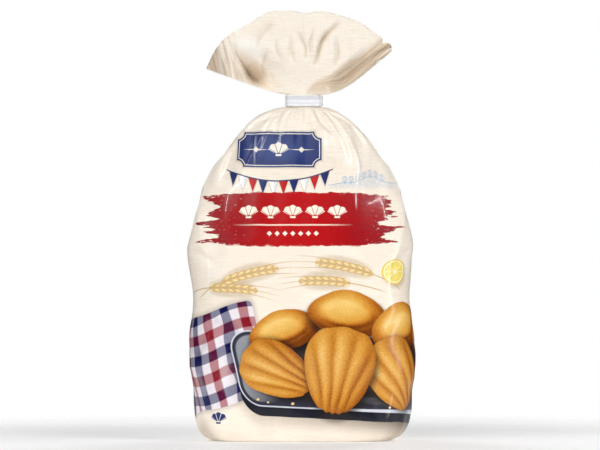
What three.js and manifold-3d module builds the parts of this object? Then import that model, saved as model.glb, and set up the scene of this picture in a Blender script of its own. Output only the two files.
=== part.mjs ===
// A shut film bag of small cakes that stands on its base. The side-folded film bulges over its filling,
// narrows in pleats to a flat neck, and spreads above it in a fan-shaped ruff with an open mouth.
// A plastic strip, the clip, is wrapped round the neck and welded where its ends overlap.
//
// Frame: +Z up, the front panel faces -Y, and the origin is the middle of the base. Millimetres.

import * as THREE from "three";
import { mergeVertices } from "three/addons/utils/BufferGeometryUtils.js";
import Module from "manifold-3d";

// ---- Body ----
const BODY_WIDTH = 156; // between the shallow bulges of the sides
const BODY_DEPTH = 80;
const BULGE = 1.5; // how far each side bulges and draws in over the filling
const BULGE_PITCH = 66;
const FILL_HEIGHT = 134; // the cakes reach this high, and the film is slack above
const CORNER_SQUARENESS = 3.6; // exponent of the rounded, four-cornered section

// ---- Foot: the rounded edge between the sides and the flat base ----
const FOOT = { widthInset: 21, depthInset: 13, rise: 34 };

// ---- Neck, where the film is gathered flat ----
const NECK_WIDTH = 23.2;
const NECK_DEPTH = 6.4;
const NECK_BOTTOM = 233;
const NECK_HEIGHT = 8.6;
const NECK_SHIFT = 1.4; // the neck sits a little right of the middle
const NECK_SHIFT_FROM = 0.94; // and the shoulders move over to it from this share of their height

// ---- Shoulders: the film's way from the filling up to the neck ----
const FRONT_CURVE = { low: 1.4, high: 1.9 }; // full and round, seen from the front
const SIDE_CURVE = { low: 1.25, high: 1.5 }; // straighter, seen from the side
const FOLD_FROM = 118; // the side folds start to sink in here
const FOLD_FULL = 204; // and are folded right in here
const FOLD_REACH = 0.5; // a side fold's depth as a share of the half width
const FOLD_EDGE_DEPTH = 0.4; // the folded edges' distance from the middle plane, as a share of the depth
const PANEL_BOW = 2.2; // exponent of a folded panel's bow: higher is flatter in the middle
const PLEATS = 7; // across a panel
const PLEAT_DEPTH = 1.5;
const PLEAT_SKEW = 0.6; // radians by which the front's and the back's pleats differ each way

// ---- Ruff: the film left above the neck, spread in a fan of rays ----
const RUFF_LENGTH = 59.5; // along each ray
const RUFF_CORNERS = { extra: 2, at: 0.72, width: 0.2 }; // the rays near both sides are a little longer
const RUFF_LEAN = { start: 6.5, end: -10 }; // degrees the middle ray leans at the neck and at the mouth
const RUFF_SPREAD = { start: 81.5, end: 59.5 }; // degrees from the middle ray to an outer one
const RAY_BEND = 3; // the rays bend mostly near the neck, by this power of what is left of them
const RUFF_EDGE_DEPTH = 3.2; // half the distance between the panels at the outer rays
const MOUTH_DEPTH = 15; // between the panels at the middle of the mouth
const MOUTH_REACH = 0.46; // how far the mouth's hollow goes to each side, as a share of the spread
const MOUTH_RANGE = { bottom: 0.34, top: 1.03 }; // the hollow's ends, as shares of the rays
const FILM = 1.3; // thickness of the panels beside the hollow
const SLIT = 0.15; // the hollow's least half depth, at its bottom and sides

// The ruff's folds: where each lies across the fan, how far it stands forward, and how wide it is.
const RUFF_FOLDS = [
  { at: -0.88, forward: 3.5, width: 0.1 },
  { at: -0.62, forward: -6, width: 0.13 },
  { at: -0.1, forward: 2.5, width: 0.3 },
  { at: 0.29, forward: -2.5, width: 0.07 },
  { at: 0.5, forward: 1.5, width: 0.1 },
  { at: 0.74, forward: -5.5, width: 0.12 },
  { at: 0.94, forward: 3, width: 0.08 },
];

// ---- Clip ----
const CLIP_HEIGHT = 7.8;
const CLIP_WALL = 0.7;
const CLIP_BEAD = 0.4; // how far the strip's two thick edges stand out
const CLIP_GAP = 0.35; // round the film
const LAP_THICKNESS = 0.5; // of the strip's end, over the strip
const LAP_START = 2; // the end reaches round the front corner, but for this many of its steps
const LAP_BACK = 9; // and this far along the back, from the right

// ---- Fineness ----
const PANEL_STEPS = 28; // across a panel
const FOLD_STEPS = PANEL_STEPS * FOLD_REACH * 0.5; // from a side fold's edge to its inmost line
const FOOT_RINGS = 7;
const BODY_RINGS = 12;
const SHOULDER_RINGS = 13;
const RUFF_RINGS = 10;
const MOUTH_STEPS = 16; // across the hollow
const MOUTH_RINGS = 6;
const RAY_PARTS = 24; // in which a ray's bend is followed
const CORNER_STEPS = 6; // round a corner of the clip

const { clamp, degToRad, lerp, smoothstep } = THREE.MathUtils;
const bell = (x, centre, width) => Math.exp(-(((x - centre) / width) ** 2));

// A ring of film runs along the front panel, in and out of the right side fold, back along the back panel
// and in and out of the left side fold. Each of its points is a spot: across is the place between the left
// and right edges, from -1 to 1; through is the place between the front and back panels, from -1 to 1.
function ringSpots() {
  const spots = [];
  const fold = (side, from, to) => {
    for (let i = 1; i < 2 * FOLD_STEPS; i++) {
      spots.push({ fold: side, across: side, through: lerp(from, to, i / (2 * FOLD_STEPS)) });
    }
  };
  for (let i = 0; i <= PANEL_STEPS; i++) {
    spots.push({ fold: 0, across: (2 * i) / PANEL_STEPS - 1, through: -1 });
  }
  fold(1, -1, 1);
  for (let i = PANEL_STEPS; i >= 0; i--) {
    spots.push({ fold: 0, across: (2 * i) / PANEL_STEPS - 1, through: 1 });
  }
  fold(-1, 1, -1);
  return spots;
}

// ---- Body and shoulders ----

const rise = (z) => clamp((z - FILL_HEIGHT) / (NECK_BOTTOM - FILL_HEIGHT), 0, 1);

const shoulder = (z, curve) => (1 - rise(z) ** curve.low) ** (1 / curve.high);

const footInset = (z) => 1 - Math.sqrt(1 - (1 - Math.min(z / FOOT.rise, 1)) ** 2);

const bulge = (z) => BULGE * Math.cos((2 * Math.PI * (z - FILL_HEIGHT)) / BULGE_PITCH);

function halfWidth(z) {
  const filled = BODY_WIDTH / 2 + bulge(Math.min(z, FILL_HEIGHT)) - FOOT.widthInset * footInset(z);
  return lerp(NECK_WIDTH / 2, filled, shoulder(z, FRONT_CURVE));
}

function halfDepth(z) {
  const filled = BODY_DEPTH / 2 + bulge(Math.min(z, FILL_HEIGHT)) - FOOT.depthInset * footInset(z);
  return lerp(NECK_DEPTH / 2, filled, shoulder(z, SIDE_CURVE));
}

// A spot on the full, rounded section, one unit in half width and half depth.
function fullSpot({ fold, across, through }) {
  const n = CORNER_SQUARENESS;
  const corner = 0.5 ** (1 / n);
  const curve = (t) => (1 - (corner * Math.abs(t)) ** n) ** (1 / n);
  return fold
    ? new THREE.Vector2(fold * curve(through), corner * through)
    : new THREE.Vector2(corner * across, through * curve(across));
}

// A spot on the folded section, in the same units: bowed panels, and sides folded in like a V.
function foldedSpot({ fold, across, through }) {
  if (fold) {
    return new THREE.Vector2(
      fold * (1 - FOLD_REACH * (1 - Math.abs(through))),
      FOLD_EDGE_DEPTH * through,
    );
  }
  const bow = 1 - Math.abs(across) ** PANEL_BOW;
  return new THREE.Vector2(across, through * lerp(FOLD_EDGE_DEPTH, 1, bow));
}

// Pleats lie side by side across a panel and are deepest just below the neck.
function pleat(spot, z) {
  if (spot.fold) return 0;
  const strength = smoothstep(rise(z), 0.5, 0.9) * lerp(1, 0.2, smoothstep(rise(z), 0.93, 1));
  const wave = Math.cos(Math.PI * PLEATS * spot.across + PLEAT_SKEW * spot.through);
  return spot.through * PLEAT_DEPTH * strength * wave * (1 - spot.across ** 2);
}

function bodyRing(spots, z) {
  const folded = smoothstep(z, FOLD_FROM, FOLD_FULL);
  const section = spots.map((spot) => fullSpot(spot).lerp(foldedSpot(spot), folded));
  const reach = Math.max(...section.map((p) => p.x));
  const shift = NECK_SHIFT * smoothstep(rise(z), NECK_SHIFT_FROM, 1);
  return section.map(
    (p, i) =>
      new THREE.Vector3(
        (p.x / reach) * halfWidth(z) + shift,
        p.y * halfDepth(z) + pleat(spots[i], z),
        z,
      ),
  );
}

// ---- Ruff ----

// The point at a share of the ray that starts at a place across the neck.
function rayPoint(across, share) {
  const start = degToRad(RUFF_LEAN.start + RUFF_SPREAD.start * across);
  const end = degToRad(RUFF_LEAN.end + RUFF_SPREAD.end * across);
  const { extra, at, width } = RUFF_CORNERS;
  const step = ((RUFF_LENGTH + extra * bell(Math.abs(across), at, width)) * share) / RAY_PARTS;
  const point = new THREE.Vector2(NECK_SHIFT + (NECK_WIDTH / 2) * across, NECK_BOTTOM + NECK_HEIGHT);
  for (let i = 0; i < RAY_PARTS; i++) {
    const left = 1 - (share * (i + 0.5)) / RAY_PARTS;
    const angle = lerp(end, start, left ** RAY_BEND);
    point.x += step * Math.sin(angle);
    point.y += step * Math.cos(angle);
  }
  return point;
}

// How far the middle of the film stands back from the neck's plane, which gives the ruff its folds.
function ruffBack(across, share) {
  return -(share ** 1.2) * RUFF_FOLDS.reduce((sum, f) => sum + f.forward * bell(across, f.at, f.width), 0);
}

// Half the distance between the front and back panels.
function ruffOpening(across, share) {
  const bow = 1 - Math.abs(across) ** PANEL_BOW;
  const atNeck = (NECK_DEPTH / 2) * lerp(FOLD_EDGE_DEPTH, 1, bow);
  const atMouth = lerp(RUFF_EDGE_DEPTH, MOUTH_DEPTH / 2, bow);
  return lerp(atNeck, atMouth, smoothstep(share, 0, 1.1));
}

function ruffPoint({ fold, across, through }, share) {
  const place = fold ? fold * (1 - FOLD_REACH * (1 - Math.abs(through))) : across;
  const ray = rayPoint(place, share);
  const opening = through * ruffOpening(fold || across, share);
  return new THREE.Vector3(ray.x, ruffBack(place, share) + opening, ray.y);
}

// ---- From rings to closed meshes ----

// The triangles that close a ring of film, facing up. The front and back panels are joined between the side
// folds, and each fold's two halves are joined to the panel beside them.
function filmCap() {
  const n = PANEL_STEPS;
  const k = FOLD_STEPS;
  const around = 2 * n + 4 * k;
  const triangles = [];
  const quad = (a, b, c, d) => triangles.push([a, b, c], [a, c, d]);
  const half = (front, back, fold, turn) => {
    const add = (...corners) => quad(...(turn ? corners.reverse() : corners));
    for (let i = 0; i < k; i++) {
      add(front(i + 1), front(i), fold(i), fold(i + 1));
      add(fold(2 * k - i - 1), fold(2 * k - i), back(i), back(i + 1));
    }
    const inner = [front(k + 1), front(k), fold(k), back(k), back(k + 1)];
    if (turn) inner.reverse();
    const [a, b, c, d, e] = inner;
    triangles.push([a, b, c], [a, c, e], [c, d, e]);
  };
  half((i) => n - i, (i) => n + 2 * k + i, (i) => n + i, false);
  half((i) => i, (i) => 2 * n + 2 * k - i, (i) => (around - i) % around, true);
  for (let i = k + 1; i < n - k - 1; i++) {
    quad(i, i + 1, 2 * n + 2 * k - i - 1, 2 * n + 2 * k - i);
  }
  return triangles.filter(([a, b, c]) => a !== b && b !== c && c !== a);
}

// The triangles that close a plain ring whose points go along its front and come back along its back.
function lensCap(count) {
  const triangles = [];
  for (let i = 0; i < count / 2 - 1; i++) {
    triangles.push([i, i + 1, count - 2 - i], [i, count - 2 - i, count - 1 - i]);
  }
  return triangles;
}

// A closed mesh through rings of equal count, counter-clockwise seen from the last one.
function loft(rings, cap) {
  const count = rings[0].length;
  const index = [];
  for (let r = 0; r < rings.length - 1; r++) {
    for (let i = 0; i < count; i++) {
      const a = r * count + i;
      const b = r * count + ((i + 1) % count);
      index.push(a, b, b + count, a, b + count, a + count);
    }
  }
  const top = (rings.length - 1) * count;
  for (const [a, b, c] of cap) index.push(c, b, a, top + a, top + b, top + c);
  return new THREE.BufferGeometry().setFromPoints(rings.flat()).setIndex(index);
}

const wasm = await Module();
wasm.setup();

function toSolid(geometry) {
  const merged = mergeVertices(geometry, 1e-4);
  return new wasm.Manifold(
    new wasm.Mesh({
      numProp: 3,
      vertProperties: merged.attributes.position.array,
      triVerts: new Uint32Array(merged.index.array),
    }),
  );
}

function toGeometry(solid) {
  const mesh = solid.getMesh();
  return new THREE.BufferGeometry()
    .setAttribute("position", new THREE.BufferAttribute(mesh.vertProperties, 3))
    .setIndex(new THREE.BufferAttribute(mesh.triVerts, 1));
}

// ---- Bag ----

function ringHeights() {
  const heights = [];
  for (let i = 0; i < FOOT_RINGS; i++) {
    heights.push(FOOT.rise * (1 - Math.cos((i / FOOT_RINGS) * (Math.PI / 2))));
  }
  for (let i = 0; i < BODY_RINGS; i++) heights.push(lerp(FOOT.rise, FILL_HEIGHT, i / BODY_RINGS));
  for (let i = 0; i <= SHOULDER_RINGS; i++) {
    heights.push(lerp(NECK_BOTTOM, FILL_HEIGHT, (1 - i / SHOULDER_RINGS) ** 1.7));
  }
  return heights;
}

function filmSolid() {
  const spots = ringSpots();
  const rings = ringHeights().map((z) => bodyRing(spots, z));
  for (let i = 0; i <= RUFF_RINGS; i++) {
    const share = (i / RUFF_RINGS) ** 1.3;
    rings.push(spots.map((spot) => ruffPoint(spot, share)));
  }
  return toSolid(loft(rings, filmCap()));
}

// A line across one side of the hollow between the ruff's panels, from left to right.
function mouthLine(share, through, openness) {
  const points = [];
  for (let i = 0; i <= MOUTH_STEPS; i++) {
    const across = lerp(-MOUTH_REACH, MOUTH_REACH, i / MOUTH_STEPS);
    const lens = Math.sqrt(1 - (across / MOUTH_REACH) ** 2);
    const depth = Math.max(SLIT, (ruffOpening(across, share) - FILM) * lens * openness);
    const ray = rayPoint(across, share);
    points.push(new THREE.Vector3(ray.x, ruffBack(across, share) + through * depth, ray.y));
  }
  return points;
}

// The hollow itself, which widens from a slit and is open at the top.
function mouthSolid() {
  const rings = [];
  for (let r = 0; r <= MOUTH_RINGS; r++) {
    const share = lerp(MOUTH_RANGE.bottom, MOUTH_RANGE.top, r / MOUTH_RINGS);
    const openness = Math.min(1, r / 2);
    rings.push([...mouthLine(share, -1, openness), ...mouthLine(share, 1, openness).reverse()]);
  }
  return toSolid(loft(rings, lensCap(rings[0].length)));
}

// ---- Clip ----

const CLIP_HALF_WIDTH = NECK_WIDTH / 2 + CLIP_GAP;
const CLIP_HALF_DEPTH = NECK_DEPTH / 2 + CLIP_GAP + 0.3;

// Points of the strip's inner line round the neck, each with its outward direction.
function clipLine() {
  const radius = CLIP_HALF_DEPTH - 0.6;
  const line = [];
  for (let corner = 0; corner < 4; corner++) {
    const x = (CLIP_HALF_WIDTH - radius) * (corner === 0 || corner === 3 ? 1 : -1);
    const y = (CLIP_HALF_DEPTH - radius) * (corner < 2 ? 1 : -1);
    for (let i = 0; i <= CORNER_STEPS; i++) {
      const angle = ((corner + i / CORNER_STEPS) * Math.PI) / 2;
      const out = new THREE.Vector2(Math.cos(angle), Math.sin(angle));
      line.push({ at: new THREE.Vector2(x, y).addScaledVector(out, radius), out });
    }
  }
  return line;
}

// The strip's cut outline as [distance out, height], from the top down: thin, with a bead along each edge.
function stripProfile() {
  const h = CLIP_HEIGHT / 2;
  const bead = CLIP_WALL + CLIP_BEAD;
  return [
    [0, h],
    [CLIP_WALL, h],
    [bead, h - 0.4],
    [bead, h - 1.1],
    [CLIP_WALL, h - 1.6],
    [CLIP_WALL, 1.6 - h],
    [bead, 1.1 - h],
    [bead, 0.4 - h],
    [CLIP_WALL, -h],
    [0, -h],
  ];
}

const sweep = (places, profile) =>
  places.map(({ at, out }) =>
    profile.map(([d, z]) => new THREE.Vector3(at.x + out.x * d, at.y + out.y * d, z)),
  );

function stripSolid() {
  const rings = sweep(clipLine(), stripProfile());
  return toSolid(loft([...rings, rings[0]], []));
}

// The strip's end, which comes round from the back and lies over the strip at the right.
function lapSolid() {
  const h = CLIP_HEIGHT / 2 - 0.35;
  const low = CLIP_WALL / 2;
  const high = CLIP_WALL + CLIP_BEAD + LAP_THICKNESS;
  const profile = [
    [low, h],
    [high - 0.2, h],
    [high, h - 0.2],
    [high, 0.2 - h],
    [high - 0.2, -h],
    [low, -h],
  ];
  const line = clipLine();
  const back = line.slice(0, CORNER_STEPS + 1);
  const front = line.slice(-(CORNER_STEPS + 1)).slice(LAP_START);
  const end = {
    at: new THREE.Vector2(CLIP_HALF_WIDTH - LAP_BACK, CLIP_HALF_DEPTH),
    out: new THREE.Vector2(0, 1),
  };
  const rings = sweep([...front, ...back, end], profile);
  return toSolid(loft(rings, lensCap(profile.length)));
}

// ---- The two pieces ----

const bag = new THREE.Mesh(
  toGeometry(filmSolid().subtract(mouthSolid())),
  new THREE.MeshStandardMaterial({ color: 0xf4e9d9, roughness: 0.3, metalness: 0 }),
);
bag.name = "bag";

const clip = new THREE.Mesh(
  toGeometry(stripSolid().add(lapSolid())),
  new THREE.MeshStandardMaterial({ color: 0xf3f3f5, roughness: 0.4, metalness: 0 }),
);
clip.name = "clip";
clip.position.set(NECK_SHIFT, 0, NECK_BOTTOM + NECK_HEIGHT / 2);

const pack = new THREE.Group();
pack.add(bag, clip);

export default pack;
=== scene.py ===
"""Dresses a shut film bag of small cakes: its printed film, its strip clip and a studio."""

import math

import bmesh
import bpy
import numpy as np
from bpy.props import FloatProperty, FloatVectorProperty, PointerProperty
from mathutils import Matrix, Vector


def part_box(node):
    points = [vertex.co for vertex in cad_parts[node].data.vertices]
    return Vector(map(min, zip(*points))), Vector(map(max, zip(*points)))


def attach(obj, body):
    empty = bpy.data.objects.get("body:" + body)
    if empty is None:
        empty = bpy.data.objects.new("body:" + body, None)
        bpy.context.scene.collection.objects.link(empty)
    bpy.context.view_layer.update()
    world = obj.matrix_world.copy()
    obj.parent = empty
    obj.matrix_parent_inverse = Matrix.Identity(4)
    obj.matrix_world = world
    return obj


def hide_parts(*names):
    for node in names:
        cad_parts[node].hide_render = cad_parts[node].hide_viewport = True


bl_info = {
    "name": "Film Bag of Small Cakes",
    "version": (1, 0, 0),
    "blender": (4, 5, 0),
    "location": "View3D > Sidebar > Cake Bag",
    "description": "Makes the printed film bag, its clip and a studio around the packed model",
    "category": "Object",
}

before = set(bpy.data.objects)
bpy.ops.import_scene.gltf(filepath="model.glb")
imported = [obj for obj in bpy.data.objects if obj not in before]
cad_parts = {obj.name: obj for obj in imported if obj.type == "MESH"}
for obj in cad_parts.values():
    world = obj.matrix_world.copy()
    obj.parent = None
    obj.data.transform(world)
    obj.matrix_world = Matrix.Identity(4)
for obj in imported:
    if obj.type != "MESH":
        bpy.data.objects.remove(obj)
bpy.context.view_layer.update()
_, BAG_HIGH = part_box("bag")
CLIP_LOW, CLIP_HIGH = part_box("clip")

MM = 0.001

# ---- Body ----
BULGE = 1.5 * MM  # how far each side bulges and draws in over the filling
BULGE_PITCH = 66 * MM
HALF_WIDTH = BAG_HIGH.x - BULGE
HALF_DEPTH = BAG_HIGH.y - BULGE
FILL_HEIGHT = 134 * MM
CORNER_SQUARENESS = 3.6
FOOT_RISE = 34 * MM
FOOT_INSET = {"width": 21 * MM, "depth": 13 * MM}
BASE_HOLLOW = 0.8 * MM

# ---- Neck ----
NECK_HALF_WIDTH = 11.6 * MM
NECK_HALF_DEPTH = 3.2 * MM
NECK_SLACK = 0.4 * MM  # how far the gathered film runs on past the clip
NECK_BOTTOM = CLIP_LOW.z - NECK_SLACK
NECK_TOP = CLIP_HIGH.z + NECK_SLACK
NECK_SHIFT = 1.4 * MM  # how far right of the body's middle the neck stands
NECK_SHIFT_FROM = 0.94  # where the film starts to lean there, as a share of the shoulders

# ---- Shoulders ----
FRONT_CURVE = (1.4, 1.9)  # powers of the outline above the filling, seen from the front
SIDE_CURVE = (1.25, 1.5)
SOFT_TURN = [(0.15, -24 * MM), (0.2, -12 * MM), (0.3, 0.0), (0.2, 12 * MM), (0.15, 24 * MM)]
SOFT_TURN_REACH = 34 * MM
FOLD_RANGE = (118 * MM, 204 * MM)  # heights between which the sides fold in
FOLD_REACH = 0.5  # of half the width
FOLD_EDGE_DEPTH = 0.4
PANEL_BOW = 2.2

# ---- Ruff ----
RUFF_LENGTH = 59.5 * MM
RUFF_CORNERS = {"extra": 2 * MM, "at": 0.72, "width": 0.2}
# Where the ruff's edge runs on or falls short: its place across, width there, and length in mm.
RUFF_EDGE_WAVES = [
    (-0.52, 0.08, -0.3),
    (-0.22, 0.12, 2.0),
    (0.11, 0.1, -2.3),
    (0.73, 0.07, -1.5),
    (0.95, 0.05, 2.2),
    (0.89, 0.018, -2.4),  # the split by the right tip
]
RUFF_LEAN = (5, -10)  # degrees at the neck and at the mouth
RUFF_SPREAD = (86, 59.5)
RAY_BEND = 3.6
RAY_PARTS = 24
RUFF_EDGE_DEPTH = 3.2 * MM
MOUTH_HALF_DEPTH = 7.5 * MM

# ---- Film ----
FILM_THICKNESS = 0.15 * MM
EDGE_THICKNESS = 0.08  # share of it at the side folds, where both sides of the film meet
EDGE_CLEAR = {"panel": 0.16, "side": 0.7}
SHARP_FOLD = math.radians(95)
SAME_SPOT = 0.002 * MM
PANEL_WIDTH = 132 * MM  # of the flat film, between its side folds
BACK_MIDDLE = 220.0  # how far round the film the back's middle is, in mm
FIN_WIDTH = 0.15  # of the seam folded over down the back, in halves of the panel
FIN_THICKNESS = 0.5  # in mm
SEAM_REACH = 14  # how far beside the seam the film lies flat, in mm

# Ripples as their height and length in mm, how far they are drawn out upwards, and their seed.
RIPPLE_WAVES = 24
BODY_RIPPLES = (0.5, 46, 1.0, 3)
SLACK_RIPPLES = (0.35, 22, 0.5, 5)
FOOT_RIPPLES = (0.3, 15, 0.3, 9)
RUFF_RIPPLES = (0.3, 11, 0.6, 21)

# Heights in mm between which the film turns from filled to slack, and from slack to gathered.
FILLED_TO = (110, 150)
SLACK_FROM = (96, 150)
SLACK_TO = (226, 233)
FOOT_FROM = (0, 6)
FOOT_TO = (22, 44)
PLEAT_FROM = (0.6, 0.93)  # shares of the shoulders
PLEAT_TO = (0.95, 1)
PLEAT_HEIGHT = (0.7, 0.22)  # in mm, at the back and at the front

# ---- Fineness of the film's grid ----
PANEL_COLUMNS = 132
SIDE_COLUMNS = 36
BASE_ROWS = 10
WALL_ROWS = 84
SHOULDER_ROWS = 70
NECK_ROWS = 5
RUFF_ROWS = 50
LINING_ROWS = RUFF_ROWS + 3  # the film's inner side, from the mouth down into the neck


def smoothstep(value, low, high):
    t = np.clip((value - low) / (high - low), 0, 1)
    return t * t * (3 - 2 * t)


def lerp(a, b, t):
    return a + (b - a) * t


def bell(value, centre, width):
    return np.exp(-(((value - centre) / width) ** 2))


def ripples(u, v, height, length, stretch, seed):
    """A sum of plane waves of about one length, of unit strength but for the height."""
    draw = np.random.default_rng(seed)
    total = np.zeros(np.broadcast(u, v).shape)
    for _ in range(RIPPLE_WAVES):
        angle = draw.uniform(-math.pi / 2, math.pi / 2)
        rate = 2 * math.pi / (length * draw.uniform(0.75, 1.3))
        phase = draw.uniform(0, 2 * math.pi)
        total = total + np.cos(rate * (u * math.cos(angle) + v * stretch * math.sin(angle)) + phase)
    return height * (total * math.sqrt(2 / RIPPLE_WAVES))


def graph(value, points):
    """Straight lines through (value, result) points."""
    return np.interp(value, *zip(*points))


# ---- The film's shape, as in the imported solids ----


def ring_spots():
    """Columns of film round the bag, from the back seam past the left side to the front and on.

    For each: its side fold (-1 or 1, or 0 on a panel), its place across and its place through.
    """
    half = PANEL_COLUMNS // 2
    outward = np.linspace(0, 1, half, endpoint=False)
    inward = np.linspace(1, 0, half + 1)
    panel = np.linspace(-1, 1, PANEL_COLUMNS, endpoint=False)
    side = np.linspace(-1, 1, SIDE_COLUMNS, endpoint=False)
    runs = [
        (0, -outward, 1 + 0 * outward),
        (-1, -1 + 0 * side, -side),
        (0, panel, -1 + 0 * panel),
        (1, 1 + 0 * side, side),
        (0, inward, 1 + 0 * inward),
    ]
    fold = np.concatenate([np.full(across.shape, float(which)) for which, across, _ in runs])
    across = np.concatenate([run[1] for run in runs])
    through = np.concatenate([run[2] for run in runs])
    return fold, across, through


def rise(z):
    return np.clip((z - FILL_HEIGHT) / (NECK_BOTTOM - FILL_HEIGHT), 0, 1)


def extent(z, half, neck, inset, curve):
    """Half the bag's width or depth at a height."""
    bulge = BULGE * np.cos(2 * math.pi * (np.minimum(z, FILL_HEIGHT) - FILL_HEIGHT) / BULGE_PITCH)
    foot = 1 - np.sqrt(1 - (1 - np.minimum(z / FOOT_RISE, 1)) ** 2)
    low, high = curve
    return lerp(neck, half + bulge - inset * foot, (1 - rise(z) ** low) ** (1 / high))


def panel_bow(across):
    return 1 - np.abs(across) ** PANEL_BOW


def fold_place(fold, across, through):
    """The place across of film in a side fold, which runs in from the edge and out again."""
    return np.where(fold != 0, fold * (1 - FOLD_REACH * (1 - np.abs(through))), across)


def wall(spots, z):
    """The film from the base up to the neck, at the given heights."""
    fold, across, through = spots
    n = CORNER_SQUARENESS
    corner = 0.5 ** (1 / n)
    inner = np.where(fold != 0, through, across)
    curve = (1 - (corner * np.abs(inner)) ** n) ** (1 / n)
    full_x = np.where(fold != 0, fold * curve, corner * across)
    full_y = np.where(fold != 0, corner * through, through * curve)
    folded_x = fold_place(fold, across, through)
    folded_y = np.where(
        fold != 0, FOLD_EDGE_DEPTH * through, through * lerp(FOLD_EDGE_DEPTH, 1, panel_bow(across))
    )
    z = z[:, None]
    folded = smoothstep(z, *FOLD_RANGE)
    x = lerp(full_x, folded_x, folded)
    y = lerp(full_y, folded_y, folded)
    x = x / x.max(axis=1, keepdims=True)
    depth_at = (HALF_DEPTH, NECK_HALF_DEPTH, FOOT_INSET["depth"], SIDE_CURVE)
    width = extent(z, HALF_WIDTH, NECK_HALF_WIDTH, FOOT_INSET["width"], FRONT_CURVE)
    depth = sum(
        weight * extent(np.clip(z + lift, 0, NECK_BOTTOM), *depth_at) for weight, lift in SOFT_TURN
    )
    depth = lerp(extent(z, *depth_at), depth, bell(z, FILL_HEIGHT, SOFT_TURN_REACH))
    shift = NECK_SHIFT * smoothstep(rise(z), NECK_SHIFT_FROM, 1)
    return np.stack([x * width + shift, y * depth, z + 0 * x], axis=-1)


def base(spots):
    """The base, drawn in from its edge and a little up to a line along its middle."""
    edge = wall(spots, np.array([0.0]))[0]
    reach = edge[:, 0].max() - edge[:, 1].max()
    lift = np.full(len(edge), BASE_HOLLOW)
    middle = np.stack([np.clip(edge[:, 0], -reach, reach), 0 * edge[:, 1], lift], axis=-1)
    share = np.linspace(0, 1, BASE_ROWS, endpoint=False)[:, None, None]
    return lerp(middle, edge, share)


def ruff_ray(across, share):
    """How far right and up the film lies at a share of the ray from a place across the neck."""
    start = np.radians(RUFF_LEAN[0] + RUFF_SPREAD[0] * across)
    end = np.radians(RUFF_LEAN[1] + RUFF_SPREAD[1] * across)
    extra = RUFF_CORNERS["extra"] * bell(np.abs(across), RUFF_CORNERS["at"], RUFF_CORNERS["width"])
    for at, width, longer in RUFF_EDGE_WAVES:
        extra = extra + longer * MM * bell(across, at, width) * smoothstep(share, 0.5, 1)
    step = (RUFF_LENGTH + extra) * share / RAY_PARTS
    x = NECK_SHIFT + NECK_HALF_WIDTH * across + 0 * share
    z = NECK_TOP + 0 * x
    for part in range(RAY_PARTS):
        left = 1 - share * (part + 0.5) / RAY_PARTS
        angle = lerp(end, start, left**RAY_BEND)
        x = x + step * np.sin(angle)
        z = z + step * np.cos(angle)
    return x, z


def side_bell(value, centre, left, right):
    """A bell with a width of its own to each side."""
    return np.exp(-(((value - centre) / np.where(value < centre, left, right)) ** 2))


def beside(x, z, line):
    """Distance to a line through points, above nought on its right, and the share run."""
    best = np.full(np.broadcast(x, z).shape, 1e9)
    side = np.zeros(best.shape)
    along = np.zeros(best.shape)
    lengths = [math.dist(a, b) for a, b in zip(line, line[1:])]
    gone = 0.0
    for (ax, az), (bx, bz), length in zip(line, line[1:], lengths):
        dx, dz = (bx - ax) / length, (bz - az) / length
        run = np.clip((x - ax) * dx + (z - az) * dz, 0, length)
        away = np.hypot(x - ax - run * dx, z - az - run * dz)
        nearer = away < best
        best = np.where(nearer, away, best)
        side = np.where(nearer, np.sign((x - ax) * dz - (z - az) * dx), side)
        along = np.where(nearer, (gone + run) / sum(lengths), along)
        gone += length
    return best * side, along


# Lines of the ruff's folds as seen from the front, in mm across and up.
LEFT_FLAP = [
    *((-24, 230), (-31, 243), (-37, 252.8), (-39.6, 258.2), (-45.9, 269), (-49, 277), (-51, 296))
]
LEFT_TIP = [(-50, 240), (-53.2, 256.6), (-56, 267.5), (-59, 280), (-62, 292)]
RIGHT_SIDE = [
    *((-6, 236), (11.7, 243.4), (25.7, 258.2), (38.2, 269.2), (45.2, 273.5), (52, 277), (66, 283))
]
RIGHT_RIDGE = [(22, 250), (31, 257), (39.2, 264), (45, 268.5), (52, 273), (64, 279.5)]
MIDDLE_CREASES = [
    # depth in mm, width to the left and to the right in mm, line from below
    (4.8, 1.5, 3.2, [(9.6, 261), (11.2, 270.5), (12.3, 275), (13.7, 279), (18, 285), (27, 293)]),
    (3.0, 0.9, 2.0, [(3.2, 266), (2.5, 274.8), (1.2, 278), (-2.6, 285)]),
    (2.2, 0.9, 2.4, [(5.5, 268), (5.2, 278), (9.0, 288)]),
    (2.6, 1.8, 2.2, [(23, 260), (25.5, 271), (24, 282)]),
    (2.0, 1.0, 2.6, [(-6, 264), (-8.5, 274), (-8, 283)]),
    (1.6, 1.0, 2.6, [(-15, 266), (-18.5, 274), (-18, 281)]),
    (2.0, 1.0, 3.2, [(-26, 254), (-28, 262), (-24, 274)]),
    (1.6, 3.0, 1.0, [(-34, 268), (-30, 280), (-20, 292)]),
]

# How deep in mm and how wide in mm the left flap's fold is along its line, and its section across.
FLAP_DEPTH = [(0.3, 23), (0.45, 19), (0.62, 8.5), (0.74, 1.4), (0.8, 0)]
FLAP_WIDTH = [(0.3, 16), (0.45, 12), (0.62, 5.5), (0.74, 3.0)]
FLAP_SECTION = [(0.1, 1), (1.0, 0.24), (1.6, 0.06), (2.2, 0)]
# How far back the film lies, by its distance outside the tip's and the right side's line, in mm.
TIP_DEPTH = [(-1, 0), (0.5, 2), (10, 12), (20, 18)]
SIDE_DEPTH = [(-2, 0), (0.5, 1.2), (7, 8.5), (12, 11), (18, 16.5), (26, 19)]
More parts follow.
